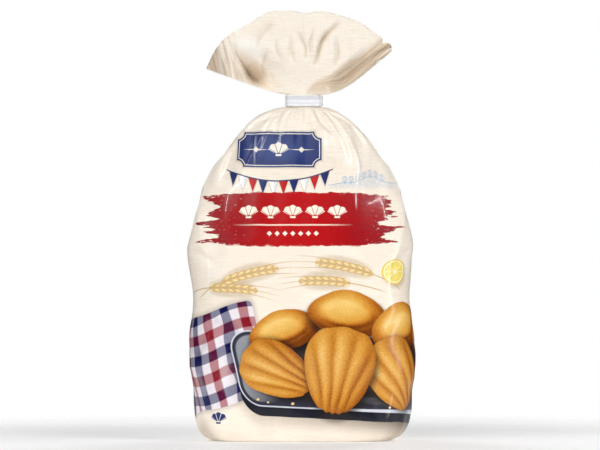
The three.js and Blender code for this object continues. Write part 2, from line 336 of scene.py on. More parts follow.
# Ridges as their height, distance from a line, and width to the left and to the right, in mm.
FLAP_RIDGE = (2.2, 12, 4, 1.6)
FLAP_LIP = (1.6, -2.5, 4.0, 1.5)
SIDE_RIDGE = (2.8, 0.8, 2.2, 1.6)
SIDE_LIP = (1.4, 6.0, 1.6, 1.0)
MIDDLE_SWELL = 3  # in mm


def dent(away, along, left, right):
    """A valley along a line that is steep to one side of it and ends softly."""
    return side_bell(away, 0, left, right) * np.sin(math.pi * np.clip(along, 0, 1)) ** 0.6


def ridge(away, height, at, left, right):
    """A rounded ridge beside a line, with a width of its own to each side."""
    return height * side_bell(away, at, left, right)


def ruff_forward(across, share):
    """How far the ruff's folds stand out to the front."""
    x, z = (value / MM for value in ruff_ray(across, share))
    left_half = smoothstep(-x, 0, 6)
    right_half = smoothstep(x, 0, 6)
    away, along = beside(x, z, LEFT_FLAP)
    deep = graph(along, FLAP_DEPTH) * smoothstep(across, -1, -0.84)
    wide = graph(along, FLAP_WIDTH)
    back = graph(away / wide, FLAP_SECTION) * smoothstep(away, -1.2, 1.4)
    folds = -deep * back * left_half
    folds += ridge(away, *FLAP_RIDGE) * bell(along, 0.36, 0.12) * left_half
    folds += ridge(away, *FLAP_LIP) * left_half
    tip, _ = beside(x, z, LEFT_TIP)
    folds -= graph(-tip, TIP_DEPTH) * left_half
    away, along = beside(x, z, RIGHT_SIDE)
    folds -= graph(away, SIDE_DEPTH) * smoothstep(along, 0.08, 0.34) * right_half
    away, along = beside(x, z, RIGHT_RIDGE)
    folds += ridge(away, *SIDE_RIDGE) * smoothstep(along, 0.15, 0.6) * right_half
    folds += ridge(away, *SIDE_LIP) * smoothstep(along, 0.4, 0.7) * right_half
    for depth, left, right, line in MIDDLE_CREASES:
        away, along = beside(x, z, line)
        folds -= depth * dent(away, along, left, right)
    folds += MIDDLE_SWELL * bell(across, 0.05, 0.6) * np.sin(math.pi * share)
    folds += ripples(x, z, *RUFF_RIPPLES) * smoothstep(share, 0.25, 0.7)
    return smoothstep(share, 0, 0.4) * folds * MM


def ruff(spots, share):
    """The film above the neck, at the given shares of its length."""
    fold, across, through = spots
    share = share[:, None]
    place = fold_place(fold, across, through)
    x, z = ruff_ray(place, share)
    bow = panel_bow(np.where(fold != 0, fold, across))
    at_neck = NECK_HALF_DEPTH * lerp(FOLD_EDGE_DEPTH, 1, bow)
    at_mouth = lerp(RUFF_EDGE_DEPTH, MOUTH_HALF_DEPTH, bow)
    opening = lerp(at_neck, at_mouth, smoothstep(share, 0, 1.1))
    return np.stack([x, through * opening - ruff_forward(place, share), z], axis=-1)


def normals_of(points):
    """Outward directions of a grid of points whose columns go all the way round."""
    padded = np.concatenate([points[:, -2:-1], points, points[:, 1:2]], axis=1)
    around = padded[:, 2:] - padded[:, :-2]
    up = np.gradient(points, axis=0)
    normal = np.cross(around, up)
    return normal / np.maximum(np.linalg.norm(normal, axis=-1, keepdims=True), 1e-12)


# ---- Creases and dents of the film ----


def crease(x, z, points, width):
    """A soft line through points, at full strength in its middle and none at its ends."""
    best = np.zeros(np.broadcast(x, z).shape)
    lengths = [math.dist(a, b) for a, b in zip(points, points[1:])]
    gone = 0.0
    for (ax, az), (bx, bz), length in zip(points, points[1:], lengths):
        t = np.clip(((x - ax) * (bx - ax) + (z - az) * (bz - az)) / length**2, 0, 1)
        away = np.hypot(x - lerp(ax, bx, t), z - lerp(az, bz, t))
        along = (gone + t * length) / sum(lengths)
        best = np.maximum(best, np.exp(-((away / width) ** 2)) * np.sin(math.pi * along) ** 0.7)
        gone += length
    return best


# Front creases as (height in mm, width in mm, points in mm across and up).
FRONT_CREASES = [
    (-1.7, 1.6, [(-13.5, 231), (-16, 225), (-19, 214)]),
    (-1.7, 1.6, [(9, 231), (13, 224), (22, 214)]),
    (0.9, 2.0, [(33, 214), (40, 192), (38, 172)]),
    (0.5, 1.5, [(-26, 216), (-33, 202), (-39, 188)]),
    (0.4, 1.5, [(-12, 216), (-19, 201)]),
    (-1.2, 2.2, [(57, 206), (61, 199), (62, 190)]),
    (-1.3, 2.4, [(-86, 135), (-72, 131), (-56, 121)]),
    (-1.1, 2.4, [(86, 137), (72, 129), (60, 117)]),
    (-0.8, 2.6, [(-84, 100), (-68, 104), (-52, 98)]),
    (-0.8, 2.6, [(84, 94), (70, 90), (58, 78)]),
]

# How far each side of the film stands out from its even shape, as (height, distance) in mm.
LEFT_NUDGE = [
    *((0, 0), (11, -1.2), (23, -2.4), (35, -1.4), (52, 0.4), (65, -0.7), (86, -1.4), (119, -0.7)),
    *((136, 0.2), (149, -1.2), (166, -0.7), (175, 1.2), (191, 1.2), (203, -1.8), (208, -2.4)),
    *((214, -1.6), (222, 0), (233, 1.2)),
]
RIGHT_NUDGE = [
    *((0, 0), (20, 0), (35, 0.7), (44, 2.2), (52, 1.8), (67, -1.2), (90, 0), (98, -0.7)),
    *((115, -2.2), (128, -2.4), (136, -1.4), (166, -1.2), (175, 0.6), (191, 0.5), (199, -1.2)),
    *((210, -1.4), (216, -2.4), (233, -1)),
]


def film_relief(spots, points, across_film):
    """How far the film of the walls stands out from its smooth shape."""
    fold, across, through = spots
    x = points[..., 0] / MM
    z = points[..., 2] / MM
    u = across_film / MM
    normals = normals_of(points)
    beside_seam = smoothstep(BACK_MIDDLE - np.abs(u), 0, SEAM_REACH)
    filled = 1 - smoothstep(z, *FILLED_TO)
    slack = smoothstep(z, *SLACK_FROM) * (1 - smoothstep(z, *SLACK_TO))
    relief = ripples(u, z, *BODY_RIPPLES) * filled
    relief += ripples(u, z, *SLACK_RIPPLES) * slack
    relief *= beside_seam
    front = smoothstep(np.clip(-normals[..., 1], 0, 1), 0.35, 0.8)
    for height, width, line in FRONT_CREASES:
        relief += height * crease(x, z, line, width) * front
    share = rise(points[..., 2])
    near_neck = smoothstep(share, *PLEAT_FROM) * lerp(1, 0.25, smoothstep(share, *PLEAT_TO))
    pleats = np.cos(math.pi * 8.3 * across + 0.4 * np.sin(9 * across) + 0.6 * through)
    pleats += 0.7 * np.cos(math.pi * 14.7 * across + 1.1 * through + 0.5)
    strength = lerp(*PLEAT_HEIGHT, smoothstep(-through, 0, 1))
    relief += strength * pleats * near_neck * (1 - across**2) * (fold == 0)
    edge = np.maximum(smoothstep(np.abs(across), 0.86, 0.98), fold != 0)
    relief *= 1 - edge * smoothstep(z, 140, 180)
    for side, nudge in ((-1, LEFT_NUDGE), (1, RIGHT_NUDGE)):
        relief += graph(z, nudge) * smoothstep(side * normals[..., 0], 0.2, 0.8)
    foot = smoothstep(z, *FOOT_FROM) * (1 - smoothstep(z, *FOOT_TO)) * beside_seam
    relief += ripples(u, z, *FOOT_RIPPLES) * foot
    behind = (fold == 0) & (through > 0)
    fin = smoothstep(across, -0.04, 0) * (across < FIN_WIDTH)
    relief += FIN_THICKNESS * fin * (1 - smoothstep(share, 0.5, 0.9)) * behind
    return relief * smoothstep(z, 0, 4) * MM


def film_chart(spots, points, gathered, opened):
    """Places on the print, as distances across and up, from the base's edge to the mouth.

    Below the neck they run round the film, and at it as on flat film. In the ruff they are those
    seen from the front.
    """
    fold, _, through = spots
    columns = np.arange(len(fold))
    side = np.where(columns < len(fold) // 2, -1, 1)
    back = BACK_MIDDLE * MM
    behind = (through + 1) / 2
    steps = np.linalg.norm(np.diff(points, axis=1), axis=-1)
    around = np.concatenate([np.zeros((len(points), 1)), np.cumsum(steps, axis=1)], axis=1)
    total = around[:, -1:]
    around = around - around[:, len(fold) // 2, None]
    around = around + side * (back - total / 2) * behind

    panels = (0, PANEL_COLUMNS / 2, SIDE_COLUMNS, PANEL_COLUMNS, SIDE_COLUMNS, PANEL_COLUMNS / 2)
    side_width = back - PANEL_WIDTH
    widths = (-back, PANEL_WIDTH / 2, side_width, PANEL_WIDTH, side_width, PANEL_WIDTH / 2)
    flat = np.interp(columns, np.cumsum(panels), np.cumsum(widths))

    x = points[..., 0]
    first = PANEL_COLUMNS // 2 + SIDE_COLUMNS
    last = first + PANEL_COLUMNS
    edge = np.where(fold < 0, x[:, first, None], x[:, last, None])
    x = np.where(fold != 0, edge, x)
    seen = lerp(x, side * back - x, behind)
    across_film = lerp(lerp(around, flat, gathered[:, None]), seen, opened[:, None])
    return np.stack([across_film, points[..., 2]], axis=-1)


def side_fold_shade(spots, heights):
    """How much shade is painted on the film above the filling, next to its side folds."""
    fold, across, _ = spots
    near_fold = np.maximum(smoothstep(np.abs(across), 0.9, 0.99), fold != 0)
    high = smoothstep(heights, 140 * MM, 190 * MM) * (1 - smoothstep(heights, 228 * MM, NECK_TOP))
    return high[:, None] * near_fold


def crease_shade(spots, share):
    """How much shade is painted on the front of the ruff, along its narrow creases."""
    fold, across, through = spots
    x, z = (value / MM for value in ruff_ray(fold_place(fold, across, through), share[:, None]))
    total = np.zeros(x.shape)
    for depth, left, right, line in MIDDLE_CREASES:
        away, along = beside(x, z, line)
        strength = min(depth / 4, 1) * np.sin(math.pi * np.clip(along, 0, 1)) ** 0.6
        total = np.maximum(total, strength * side_bell(away, 0.4, left, 0.6 * right))
    return total * smoothstep(-through, 0.6, 1)


def film_surface():
    """The film as a grid of points, its places on the print, how much shade is painted on it, its
    outer rows.
    """
    spots = ring_spots()
    foot = FOOT_RISE * (1 - np.cos(np.linspace(0, math.pi / 2, WALL_ROWS // 4, endpoint=False)))
    body = np.linspace(FOOT_RISE, FILL_HEIGHT, WALL_ROWS - len(foot), endpoint=False)
    climb = 1 - (1 - np.linspace(0, 1, SHOULDER_ROWS)) ** 1.5
    shoulder = lerp(FILL_HEIGHT, NECK_BOTTOM, climb)
    heights = np.concatenate([foot, body, shoulder])
    smooth = wall(spots, heights)
    share = np.linspace(0, 1, RUFF_ROWS + 1)[1:] ** 1.1
    upper = ruff(spots, share)
    start = ruff(spots, np.array([0.0]))
    neck = lerp(smooth[-1:], start, np.linspace(0, 1, NECK_ROWS + 1)[1:, None, None])

    above = np.ones(NECK_ROWS + RUFF_ROWS)
    gathered = np.concatenate([smoothstep(heights, 218 * MM, NECK_BOTTOM), above])
    opened = np.concatenate([0 * heights, 0 * above[:NECK_ROWS], smoothstep(share, 0, 0.35)])
    chart = film_chart(spots, np.concatenate([smooth, neck, upper]), gathered, opened)
    low_chart = np.repeat(chart[:1], BASE_ROWS, axis=0)
    low_chart[..., 1] -= HALF_DEPTH * (1 - np.linspace(0, 1, BASE_ROWS, endpoint=False)[:, None])
    chart = np.concatenate([low_chart, chart])

    relief = film_relief(spots, smooth, chart[BASE_ROWS : BASE_ROWS + len(heights), :, 0])
    walls = smooth + normals_of(smooth) * relief[..., None]
    outer = np.concatenate([base(spots), walls, neck, upper])
    fold, across, through = spots
    clear_side = (1 - np.abs(through)) / EDGE_CLEAR["side"]
    clear_panel = (1 - np.abs(across)) / EDGE_CLEAR["panel"]
    clear = smoothstep(np.where(fold != 0, clear_side, clear_panel), 0, 1)
    thickness = FILM_THICKNESS * lerp(EDGE_THICKNESS, 1, clear)
    lining = (outer[-LINING_ROWS:] - thickness[:, None] * normals_of(outer)[-LINING_ROWS:])[::-1]
    points = np.concatenate([outer, lining])
    chart = np.concatenate([chart, chart[-LINING_ROWS:][::-1]])
    # how much shade is painted on the film, by its side folds and along the ruff's creases
    doubled = np.zeros(points.shape[:2])
    doubled[BASE_ROWS : BASE_ROWS + len(heights)] = side_fold_shade(spots, heights)
    doubled[len(outer) - RUFF_ROWS : len(outer)] = crease_shade(spots, share)
    return points, chart, doubled, len(outer)


# ---- Making pieces ----


def add_piece(name, mesh, materials, node):
    """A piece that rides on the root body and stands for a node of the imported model."""
    piece = bpy.data.objects.new(name, mesh)
    bpy.context.scene.collection.objects.link(piece)
    for material in materials:
        mesh.materials.append(material)
    mesh.polygons.foreach_set("use_smooth", np.ones(len(mesh.polygons), bool))
    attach(piece, "root")
    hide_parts(node)
    return piece


def film_mesh():
    """The film's grid of points as one closed mesh, with its places on the print."""
    points, chart, doubled, outer_rows = film_surface()
    rows, columns = points.shape[:2]
    bm = bmesh.new()
    bmesh.ops.create_grid(bm, x_segments=columns - 1, y_segments=rows - 1, size=0.5)
    mesh = bpy.data.meshes.new("bag_film")
    bm.to_mesh(mesh)
    bm.free()
    mesh.vertices.foreach_set("co", points.reshape(-1))
    corners = np.empty(len(mesh.loops), int)
    mesh.loops.foreach_get("vertex_index", corners)
    layer = mesh.uv_layers.new(name="film")
    layer.data.foreach_set("uv", chart.reshape(-1, 2)[corners].reshape(-1))
    mesh.attributes.new("doubled", "FLOAT", "POINT").data.foreach_set("value", doubled.reshape(-1))
    inside = np.arange((rows - 1) * (columns - 1)) // (columns - 1) >= outer_rows - 1
    mesh.polygons.foreach_set("material_index", inside.astype(int))

    bm = bmesh.new()
    bm.from_mesh(mesh)
    sides = [[face for face in bm.faces if face.material_index == side] for side in (0, 1)]
    # Both sides of the film are cut along the same diagonals, so that they don't cross.
    for faces, method in zip(sides, ("FIXED", "ALTERNATE")):
        bmesh.ops.triangulate(bm, faces=faces, quad_method=method)
    bmesh.ops.remove_doubles(bm, verts=bm.verts, dist=SAME_SPOT)
    bmesh.ops.dissolve_degenerate(bm, edges=bm.edges, dist=0.001 * MM)
    rim = [edge for edge in bm.edges if edge.is_boundary]
    bmesh.ops.holes_fill(bm, edges=rim, sides=0)
    for edge in bm.edges:
        edge.smooth = edge.calc_face_angle(0) < SHARP_FOLD
    bm.to_mesh(mesh)
    bm.free()
    return mesh


# ---- Materials ----


def linear(red, green, blue):
    """A colour given in 8-bit display values."""
    return tuple(
        c / 12.92 if c <= 0.04045 else ((c + 0.055) / 1.055) ** 2.4
        for c in (red / 255, green / 255, blue / 255)
    )


class Field:
    """A number that shader nodes work out at each point, joined to others as plain numbers are."""

    def __init__(self, sheet, socket):
        self.sheet = sheet
        self.socket = socket

    def __add__(self, other):
        return self.sheet.calc("ADD", self, other)

    __radd__ = __add__

    def __sub__(self, other):
        return self.sheet.calc("SUBTRACT", self, other)

    def __rsub__(self, other):
        return self.sheet.calc("SUBTRACT", other, self)

    def __mul__(self, other):
        return self.sheet.calc("MULTIPLY", self, other)

    __rmul__ = __mul__

    def __truediv__(self, other):
        return self.sheet.calc("DIVIDE", self, other)

    def __pow__(self, other):
        return self.sheet.calc("POWER", self, other)

    def __neg__(self):
        return self.sheet.calc("MULTIPLY", self, -1)

    def __abs__(self):
        return self.sheet.calc("ABSOLUTE", self)


class Sheet:
    """A material whose colours are laid one over another, in the order they are painted."""

    def __init__(self, name):
        self.material = bpy.data.materials.new(name)
        self.material.use_nodes = True
        self.tree = self.material.node_tree
        self.shader = self.tree.nodes["Principled BSDF"]
        self.colour = None

    def node(self, kind, **settings):
        made = self.tree.nodes.new(kind)
        for name, value in settings.items():
            setattr(made, name, value)
        return made

    def feed(self, socket, value):
        if isinstance(value, Field):
            value = value.socket
        if isinstance(value, bpy.types.NodeSocket):
            self.tree.links.new(value, socket)
        elif value is not None:
            socket.default_value = value

    def calc(self, operation, *values, clamp=False):
        made = self.node("ShaderNodeMath", operation=operation, use_clamp=clamp)
        for socket, value in zip(made.inputs, values):
            self.feed(socket, value)
        return Field(self, made.outputs[0])

    def least(self, a, b):
        return self.calc("MINIMUM", a, b)

    def most(self, a, b):
        return self.calc("MAXIMUM", a, b)

    def length(self, a, b):
        return self.calc("SQRT", a * a + b * b)

    def fade(self, value, low, high, start=0.0, end=1.0, smooth=False):
        """Runs from start to end while the value runs from low to high."""
        kind = "SMOOTHSTEP" if smooth else "LINEAR"
        made = self.node("ShaderNodeMapRange", clamp=False, interpolation_type=kind)
        for socket, given in zip(made.inputs, (value, low, high, start, end)):
            self.feed(socket, given)
        if smooth:
            return Field(self, made.outputs[0])
        # A clamp of its own takes less of the renderer's memory than the one built into the node.
        held = self.node("ShaderNodeClamp", clamp_type="RANGE")
        for socket, given in zip(held.inputs, (made.outputs[0], start, end)):
            self.feed(socket, given)
        return Field(self, held.outputs[0])

    def inside(self, distance, soft=0.3):
        """1 where a distance to an outline is below nought."""
        return self.fade(distance, soft / 2, -soft / 2)

    def place(self, vector, at=(0, 0), turn=0.0, size=(1, 1)):
        """A vector seen from a place that is moved, turned by degrees and sized."""
        made = self.node("ShaderNodeMapping", vector_type="TEXTURE")
        self.feed(made.inputs["Vector"], vector)
        made.inputs["Location"].default_value = (*at, 0)
        made.inputs["Rotation"].default_value = (0, 0, math.radians(turn))
        made.inputs["Scale"].default_value = (*size, 1)
        return made.outputs[0]

    def split(self, vector):
        made = self.node("ShaderNodeSeparateXYZ")
        self.feed(made.inputs[0], vector)
        return Field(self, made.outputs[0]), Field(self, made.outputs[1])

    def axis(self, vector, name):
        made = self.node("ShaderNodeSeparateXYZ")
        self.feed(made.inputs[0], vector)
        return Field(self, made.outputs[name])

    def noise(self, vector, scale=1.0, detail=2.0, roughness=0.5):
        made = self.node("ShaderNodeTexNoise")
        self.feed(made.inputs["Vector"], vector)
        made.inputs["Scale"].default_value = scale
        made.inputs["Detail"].default_value = detail
        made.inputs["Roughness"].default_value = roughness
        return Field(self, made.outputs[0])

    def ramp(self, value, stops):
        """Colours along a value, from (value, colour) stops."""
        made = self.node("ShaderNodeValToRGB")
        self.feed(made.inputs[0], value)
        elements = made.color_ramp.elements
        while len(elements) < len(stops):
            elements.new(1.0)
        for element, (at, colour) in zip(elements, stops):
            element.position = at
            element.color = (*linear(*colour), 1)
        return made.outputs[0]

    def paint(self, colour, mask=1.0, blend="MIX"):
        """Lays a colour over what is there."""
        made = self.node("ShaderNodeMix", data_type="RGBA", blend_type=blend)
        self.feed(made.inputs[0], mask)
        self.feed(made.inputs[6], self.colour)
        self.feed(made.inputs[7], (*linear(*colour), 1) if isinstance(colour, tuple) else colour)
        self.colour = made.outputs[2]

    def multiply(self, colour, mask=1.0):
        """Darkens what is there by a colour."""
        self.paint(colour, mask, "MULTIPLY")

    def finish(self, roughness, bump, reach, **shader):
        """Wires the colour, the roughness and a bump, with its height in metres, to the shader."""
        self.feed(self.shader.inputs["Base Color"], self.colour)
        self.feed(self.shader.inputs["Roughness"], roughness)
        relief = self.node("ShaderNodeBump")
        self.feed(relief.inputs["Height"], bump)
        relief.inputs["Distance"].default_value = reach
        relief.inputs["Strength"].default_value = 1.0
        self.feed(self.shader.inputs["Normal"], relief.outputs[0])
        for name, value in shader.items():
            self.shader.inputs[name.replace("_", " ")].default_value = value
        return self.material

    def object_place(self):
        made = self.node("ShaderNodeTexCoord")
        return made.outputs["Object"]


# ---- Colours, as 8-bit display values ----

CREAM = (246, 234, 218)
SHELL_CREAM = (250, 240, 222)
NAVY = (34, 50, 108)
RED = (166, 16, 22)
WHITE = (255, 255, 255)
BLACK = (0, 0, 0)
LINEN = {
    # ruff light is painted light over the ruff; the others are the print's own colours
    "ruff light": (252, 244, 232),
    "pale": (255, 250, 240),
    "thread": (226, 208, 185),
    "gap": (255, 249, 238),
    "cross thread": (230, 213, 191),
    "slub": (214, 190, 164),
}
# Painted shade and painted highlights on the film, and the bottom seal's own tan.
FILM_SHADE = {
    "fold": (224, 217, 206),
    "crease": (198, 178, 152),
    "tip": (233, 225, 216),
    "flap": (234, 222, 208),
    "ray": (234, 223, 210),
    "split highlight": (255, 253, 250),
    "wedge": (236, 229, 220),
    "lit": (255, 252, 247),
    "corner": (176, 156, 134),
    "seal": (222, 206, 186),
    "wrinkle highlight": (255, 255, 254),
}
CLOTH = {
    "shadow": (150, 140, 128),
    "white": (240, 236, 240),
    "navy": (10, 18, 96),
    "red": (160, 0, 40),
    "fold": (110, 100, 128),
    "worn": (120, 110, 118),
}
BOARD = {
    "shadow": (104, 90, 76),
    "side": (24, 26, 38),
    "rim": (206, 210, 218),
    "bevel": (48, 48, 64),
    "face": (40, 35, 33),
    "sheen": (140, 143, 152),
    "bright end": (168, 172, 180),
    "speck": (20, 18, 20),
}
CAKE_SHADOW = (30, 22, 18)
CRUMB = (232, 204, 150)
WHEAT = {"beard": (204, 170, 112), "stalk": (206, 176, 120), "shadow": (190, 165, 128)}
LEMON = {"shadow": (188, 170, 138), "rind": (240, 203, 52), "pith": (252, 244, 206)}
PLATE = {
    "shadow": (186, 174, 160),
    "glow": (52, 74, 134),
    "line": (238, 234, 226),
    "shell": (244, 238, 226),
    "sprig": (236, 230, 218),
}
PENNANT = {
    "shadow": (178, 168, 154),
    "white": (250, 250, 250),
    "red": (196, 28, 26),
    "string": (46, 56, 104),
}
HILL = {"ground": (184, 200, 220), "line": (164, 186, 212), "crown": (190, 204, 220)}
STROKE = {
    "dark": (138, 32, 42),
    "bright": (198, 22, 26),
    "line": (248, 226, 206),
    "dot": (248, 238, 224),
}
BACK_LABEL = {"panel": (251, 247, 240), "frame": (150, 160, 190)}
INSIDE_WHITE, INSIDE_CLOUD = (246, 240, 230), (232, 222, 206)
CLIP_WHITE, CLIP_CLOUD = (243, 243, 246), (226, 227, 233)
# Lines of painted shade along the clip, inside its beads, as (height over its middle, half their
# width, colour), in mm.
CLIP_SHADE_LINES = [(1.9, 1.1, (212, 215, 222)), (-1.7, 0.6, (226, 225, 234))]

# Colours from dark to light, as (brightness, colour).
GOLD_RAMP = [
    (0.0, (116, 56, 8)),
    (0.18, (164, 90, 18)),
    (0.36, (199, 128, 42)),
    (0.55, (219, 162, 70)),
    (0.75, (235, 192, 106)),
    (1.0, (248, 222, 162)),
]
SHELL_RAMP = [
    (0.0, (108, 54, 10)),
    (0.25, (162, 92, 24)),
    (0.5, (197, 131, 46)),
    (0.75, (219, 162, 74)),
    (1.0, (238, 202, 128)),
]
WHEAT_RAMP = [(0.0, (176, 134, 74)), (0.45, (216, 180, 116)), (1.0, (246, 226, 178))]
LEMON_RAMP = [(0.3, (240, 208, 72)), (0.7, (250, 234, 134))]

# ---- Layout of the print, in millimetres across from the front's middle and up from the base ----

HILLS_AT, HILLS_HALF = (44, 181), (24, 5)
TREE_PITCH, TREES = 4.6, 7
# Ears of wheat as (place, turn in degrees, length, side to which they curve).
EARS = [
    ((-48, 107), -3, 36, 1),
    ((16, 112), 178, 36, -1),
    ((-36, 117), 14, 42, 1),
    ((30, 122), 168, 42, -1),
]
GRAIN_PITCH = 5.0
LEMON_AT, LEMON_RADIUS = (67, 118), 11
CLOTH_AT, CLOTH_TURN, CLOTH_HALF, CLOTH_CELL = (-78, 54), 13, (52, 33), 7
BOARD_AT, BOARD_TURN, BOARD_HALF, BOARD_TAPER = (34, 48), -3, (80, 26), -0.0035
BOARD_CORNER = 15
# Cakes as (place, turn in degrees, half their width and height), the front ones last.
SMOOTH_CAKES = [
    ((-12, 78), 14, (25, 14)),
    ((32, 89), -8, (28, 16)),
    ((72, 80), 12, (24, 17)),
    ((108, 74), -8, (22, 15)),
]
RIBBED_CAKES = [
    ((-17, 50), 64, (18, 26)),
    ((68, 47), 34, (21, 27)),
    ((26, 50), -9, (24, 30)),
]
CAKE_RIBS = 5.6
CRUMBS = [(-30, 30, 1.0), (-23, 28, 0.8), (-6, 27, 1.1), (62, 24, 0.9)]
PLATE_AT, PLATE_HALF = (-16, 203), (30, 12.5)
PENNANTS = {"left": -52, "right": 20, "hang": 181, "sag": 7.5, "pitch": 7.2, "depth": 9.5}
STROKE_AT, STROKE_HALF = (-2, 154.5), (64, 18.5)
STROKE_SHIFT = 4  # of the row, the line and the dots, to the left of the stroke's middle
SHELL_ROW = {"pitch": 15.4, "count": 5, "up": 5.4, "size": 4.7}
DOT_ROW = {"pitch": 5.4, "reach": 18.9, "down": 9.8, "half": 1.8}
LOW_SHELL_AT, LOW_SHELL_SIZE = (-58, 17), 4.2
BACK_PANEL = {"up": 72, "half": (50, 42), "corner": 6}
BACK_BAR = {"up": 136, "half": (44, 7.5), "pitch": 12, "reach": 30, "size": 3.4}

# Folds of the ruff along which stripes of painted shade run, as (place, turn in degrees).
RIGHT_FLAP_RAYS = ((38.2, 269.2), -51.9)
LEFT_TIP_RAYS = ((-56, 267.5), 14.1)
# The ribbed seal beside the back's middle.
SEAL_MIDDLE, SEAL_HALF, SEAL_PITCH = 5, 4, 0.9

# Wrinkles as (middle, bow over 20 mm, lowest, highest, height of the bump, strength of its painted
# highlight).
WRINKLES = [
    ((40, 190), -3.6, 168, 214, 3.0, 0.9),
    ((38, 168), 1.5, 160, 176, 2.4, 0.5),
    ((-33, 202), 1.0, 188, 218, 2.2, 0.3),
    ((-15, 208), 2.0, 198, 219, 1.8, 0.3),
    ((62, 112), 2.0, 96, 132, 1.6, 0.5),
    ((-66, 118), -1.5, 100, 140, 1.6, 0.5),
]


class PrintSheet(Sheet):
    """The printed side of the film."""

    def __init__(self, name, cream):
        super().__init__(name)
        chart = self.node("ShaderNodeUVMap", uv_map="film")
        scaled = self.node("ShaderNodeVectorMath", operation="SCALE")
        self.feed(scaled.inputs[0], chart.outputs[0])
        scaled.inputs["Scale"].default_value = 1 / MM
        self.chart = scaled.outputs[0]
        self.x, self.y = self.split(self.chart)
        self.colour = (*cream, 1)

    def beyond(self, at):
        """How far right of and above a spot of the print."""
        return self.x - at[0], self.y - at[1]

    def streaks(self, size, at=(0, 0), turn=0.0, detail=2.0, roughness=0.5):
        """Soft noise on the print, of a size across and up."""
        return self.noise(self.place(self.chart, at, turn, size), 1.0, detail, roughness)

    # Outlines

    def box(self, x, y, half_width, half_height, corner=0.0):
        """Distance to a rectangle with rounded corners."""
        over_x = abs(x) - (half_width - corner)
        over_y = abs(y) - (half_height - corner)
        outer = self.length(self.most(over_x, 0), self.most(over_y, 0))
        return outer + self.least(self.most(over_x, over_y), 0) - corner

    def shell(self, x, y, size, ribs=5):
        """Mask of a fan of ribs over a small foot, which reaches about a size from its middle."""
        p, q = x / size, y / size + 0.85
        reach = self.length(p, q)
        angle = self.calc("ARCTAN2", p, q)
        edge = 1.72 + 0.07 * self.calc("COSINE", angle * (2 * ribs))
        fan = self.most(reach - edge, (abs(angle) - 1.05) * reach)
        gaps = abs(self.calc("COSINE", angle * ribs)) * reach
        rib = self.fade(gaps, 0.1, 0.28)
        foot = self.box(p, q - 0.02, 0.42, 0.14, 0.1)
        soft = 0.25 / size
        ribs_seen = self.inside(fan, soft) * rib * self.fade(reach, 0.3, 0.42)
        return self.most(ribs_seen, self.inside(foot, soft))

    # Motifs

    def linen(self):
        """Woven ground of the print, with painted light over the ruff."""
        thread = self.streaks((15, 0.62), detail=3.0, roughness=0.6)
        cross = self.streaks((0.8, 18), (40, 9))
        cloudy = self.streaks((60, 22), (5, 70))
        bold = self.fade(self.y, 140, 190, 0.6, 1.0) * self.fade(self.y, 236, 246, 1.0, 0.75)
        # painted light: a paler cream laid over the ruff to brighten it
        self.paint(LINEN["ruff light"], self.fade(self.y, 236, 244, smooth=True) * 0.5)
        self.paint(LINEN["pale"], self.fade(cloudy, 0.45, 0.75) * 0.5)
        self.paint(LINEN["thread"], self.fade(thread, 0.5, 0.76) * bold * 0.75)
        self.paint(LINEN["gap"], self.fade(thread, 0.5, 0.26) * bold * 0.5)
        self.paint(LINEN["cross thread"], self.fade(cross, 0.55, 0.76) * bold * 0.45)
        slub = self.streaks((7, 0.6), (11, 3), detail=1.0)
        self.paint(LINEN["slub"], self.fade(slub, 0.64, 0.78) * bold * 0.6)

    def shades(self):
        """Painted shade on the film: by its side folds, in the ruff's creases, tip, wedge and right
        zone, and at the bottom corners; painted highlights in the ruff; and the ribbed seal at the
        bottom.
        """
        held = self.node("ShaderNodeAttribute", attribute_name="doubled")
        doubled = Field(self, held.outputs["Fac"])
        # painted shade along the side folds below the ruff
        self.paint(FILM_SHADE["fold"], doubled * 0.8 * self.fade(self.y, 238, 236))
        # painted shade along the ruff's narrow creases
        self.paint(FILM_SHADE["crease"], doubled * 0.65 * self.fade(self.y, 236, 238))
        above = self.fade(self.y, 239, 246, smooth=True) * self.inside(abs(self.x) - 74, 2)
        tip = 0.97 * (self.x + 56) + 0.243 * (self.y - 267.5)
        # painted shade on the ruff's left tip
        self.multiply(FILM_SHADE["tip"], self.fade(tip, 2, -5, smooth=True) * above)
        lower = 0.617 * (self.x - 38.2) - 0.786 * (self.y - 269.2)
        # painted shade over the ruff's right zone, below its fold line
        self.multiply(FILM_SHADE["flap"], self.fade(lower, -1, 6, smooth=True) * above)
        right = (RIGHT_FLAP_RAYS, self.fade(lower, -2, 1))
        left = (LEFT_TIP_RAYS, self.fade(tip, 14, 6))
        # painted shade in stripes, for the fine pleats of the right zone and the left tip
        for line, near in (right, left):
            rays = self.streaks((2.4, 33), *line)
            near = near * above * self.fade(self.y, 243, 255, smooth=True)
            self.multiply(FILM_SHADE["ray"], self.fade(rays, 0.46, 0.58) * near)
        # a painted highlight along the split by the right tip
        split = self.inside(abs(lower - 11.2) - 0.35, 0.6) * self.fade(self.x, 52, 57) * above
        self.paint(FILM_SHADE["split highlight"], split)
        wedge = self.length((self.x + 34) / 13, (self.y - 256) / 9)
        # painted shade in the wedge beside the left flap
        self.multiply(FILM_SHADE["wedge"], self.fade(wedge, 1.1, 0.3, smooth=True) * above)
        lit = self.length((self.x + 38) / 15, (self.y - 274) / 11)
        self.paint(FILM_SHADE["lit"], self.fade(lit, 1.1, 0.2, smooth=True) * above * 0.6)
        # painted shade at the bottom corners
        corner = self.length((abs(self.x) - 80) / 22, (self.y + 2) / 17)
        corner = self.fade(corner, 1.3, 0.5, smooth=True) * self.fade(self.y, -4, 2)
        self.multiply(FILM_SHADE["corner"], corner * 0.5)
        seal = self.fade(self.y, -33.5, -34.2)
        self.multiply(FILM_SHADE["seal"], seal * (0.5 + 0.4 * self.calc("SINE", self.y * 3.4)))

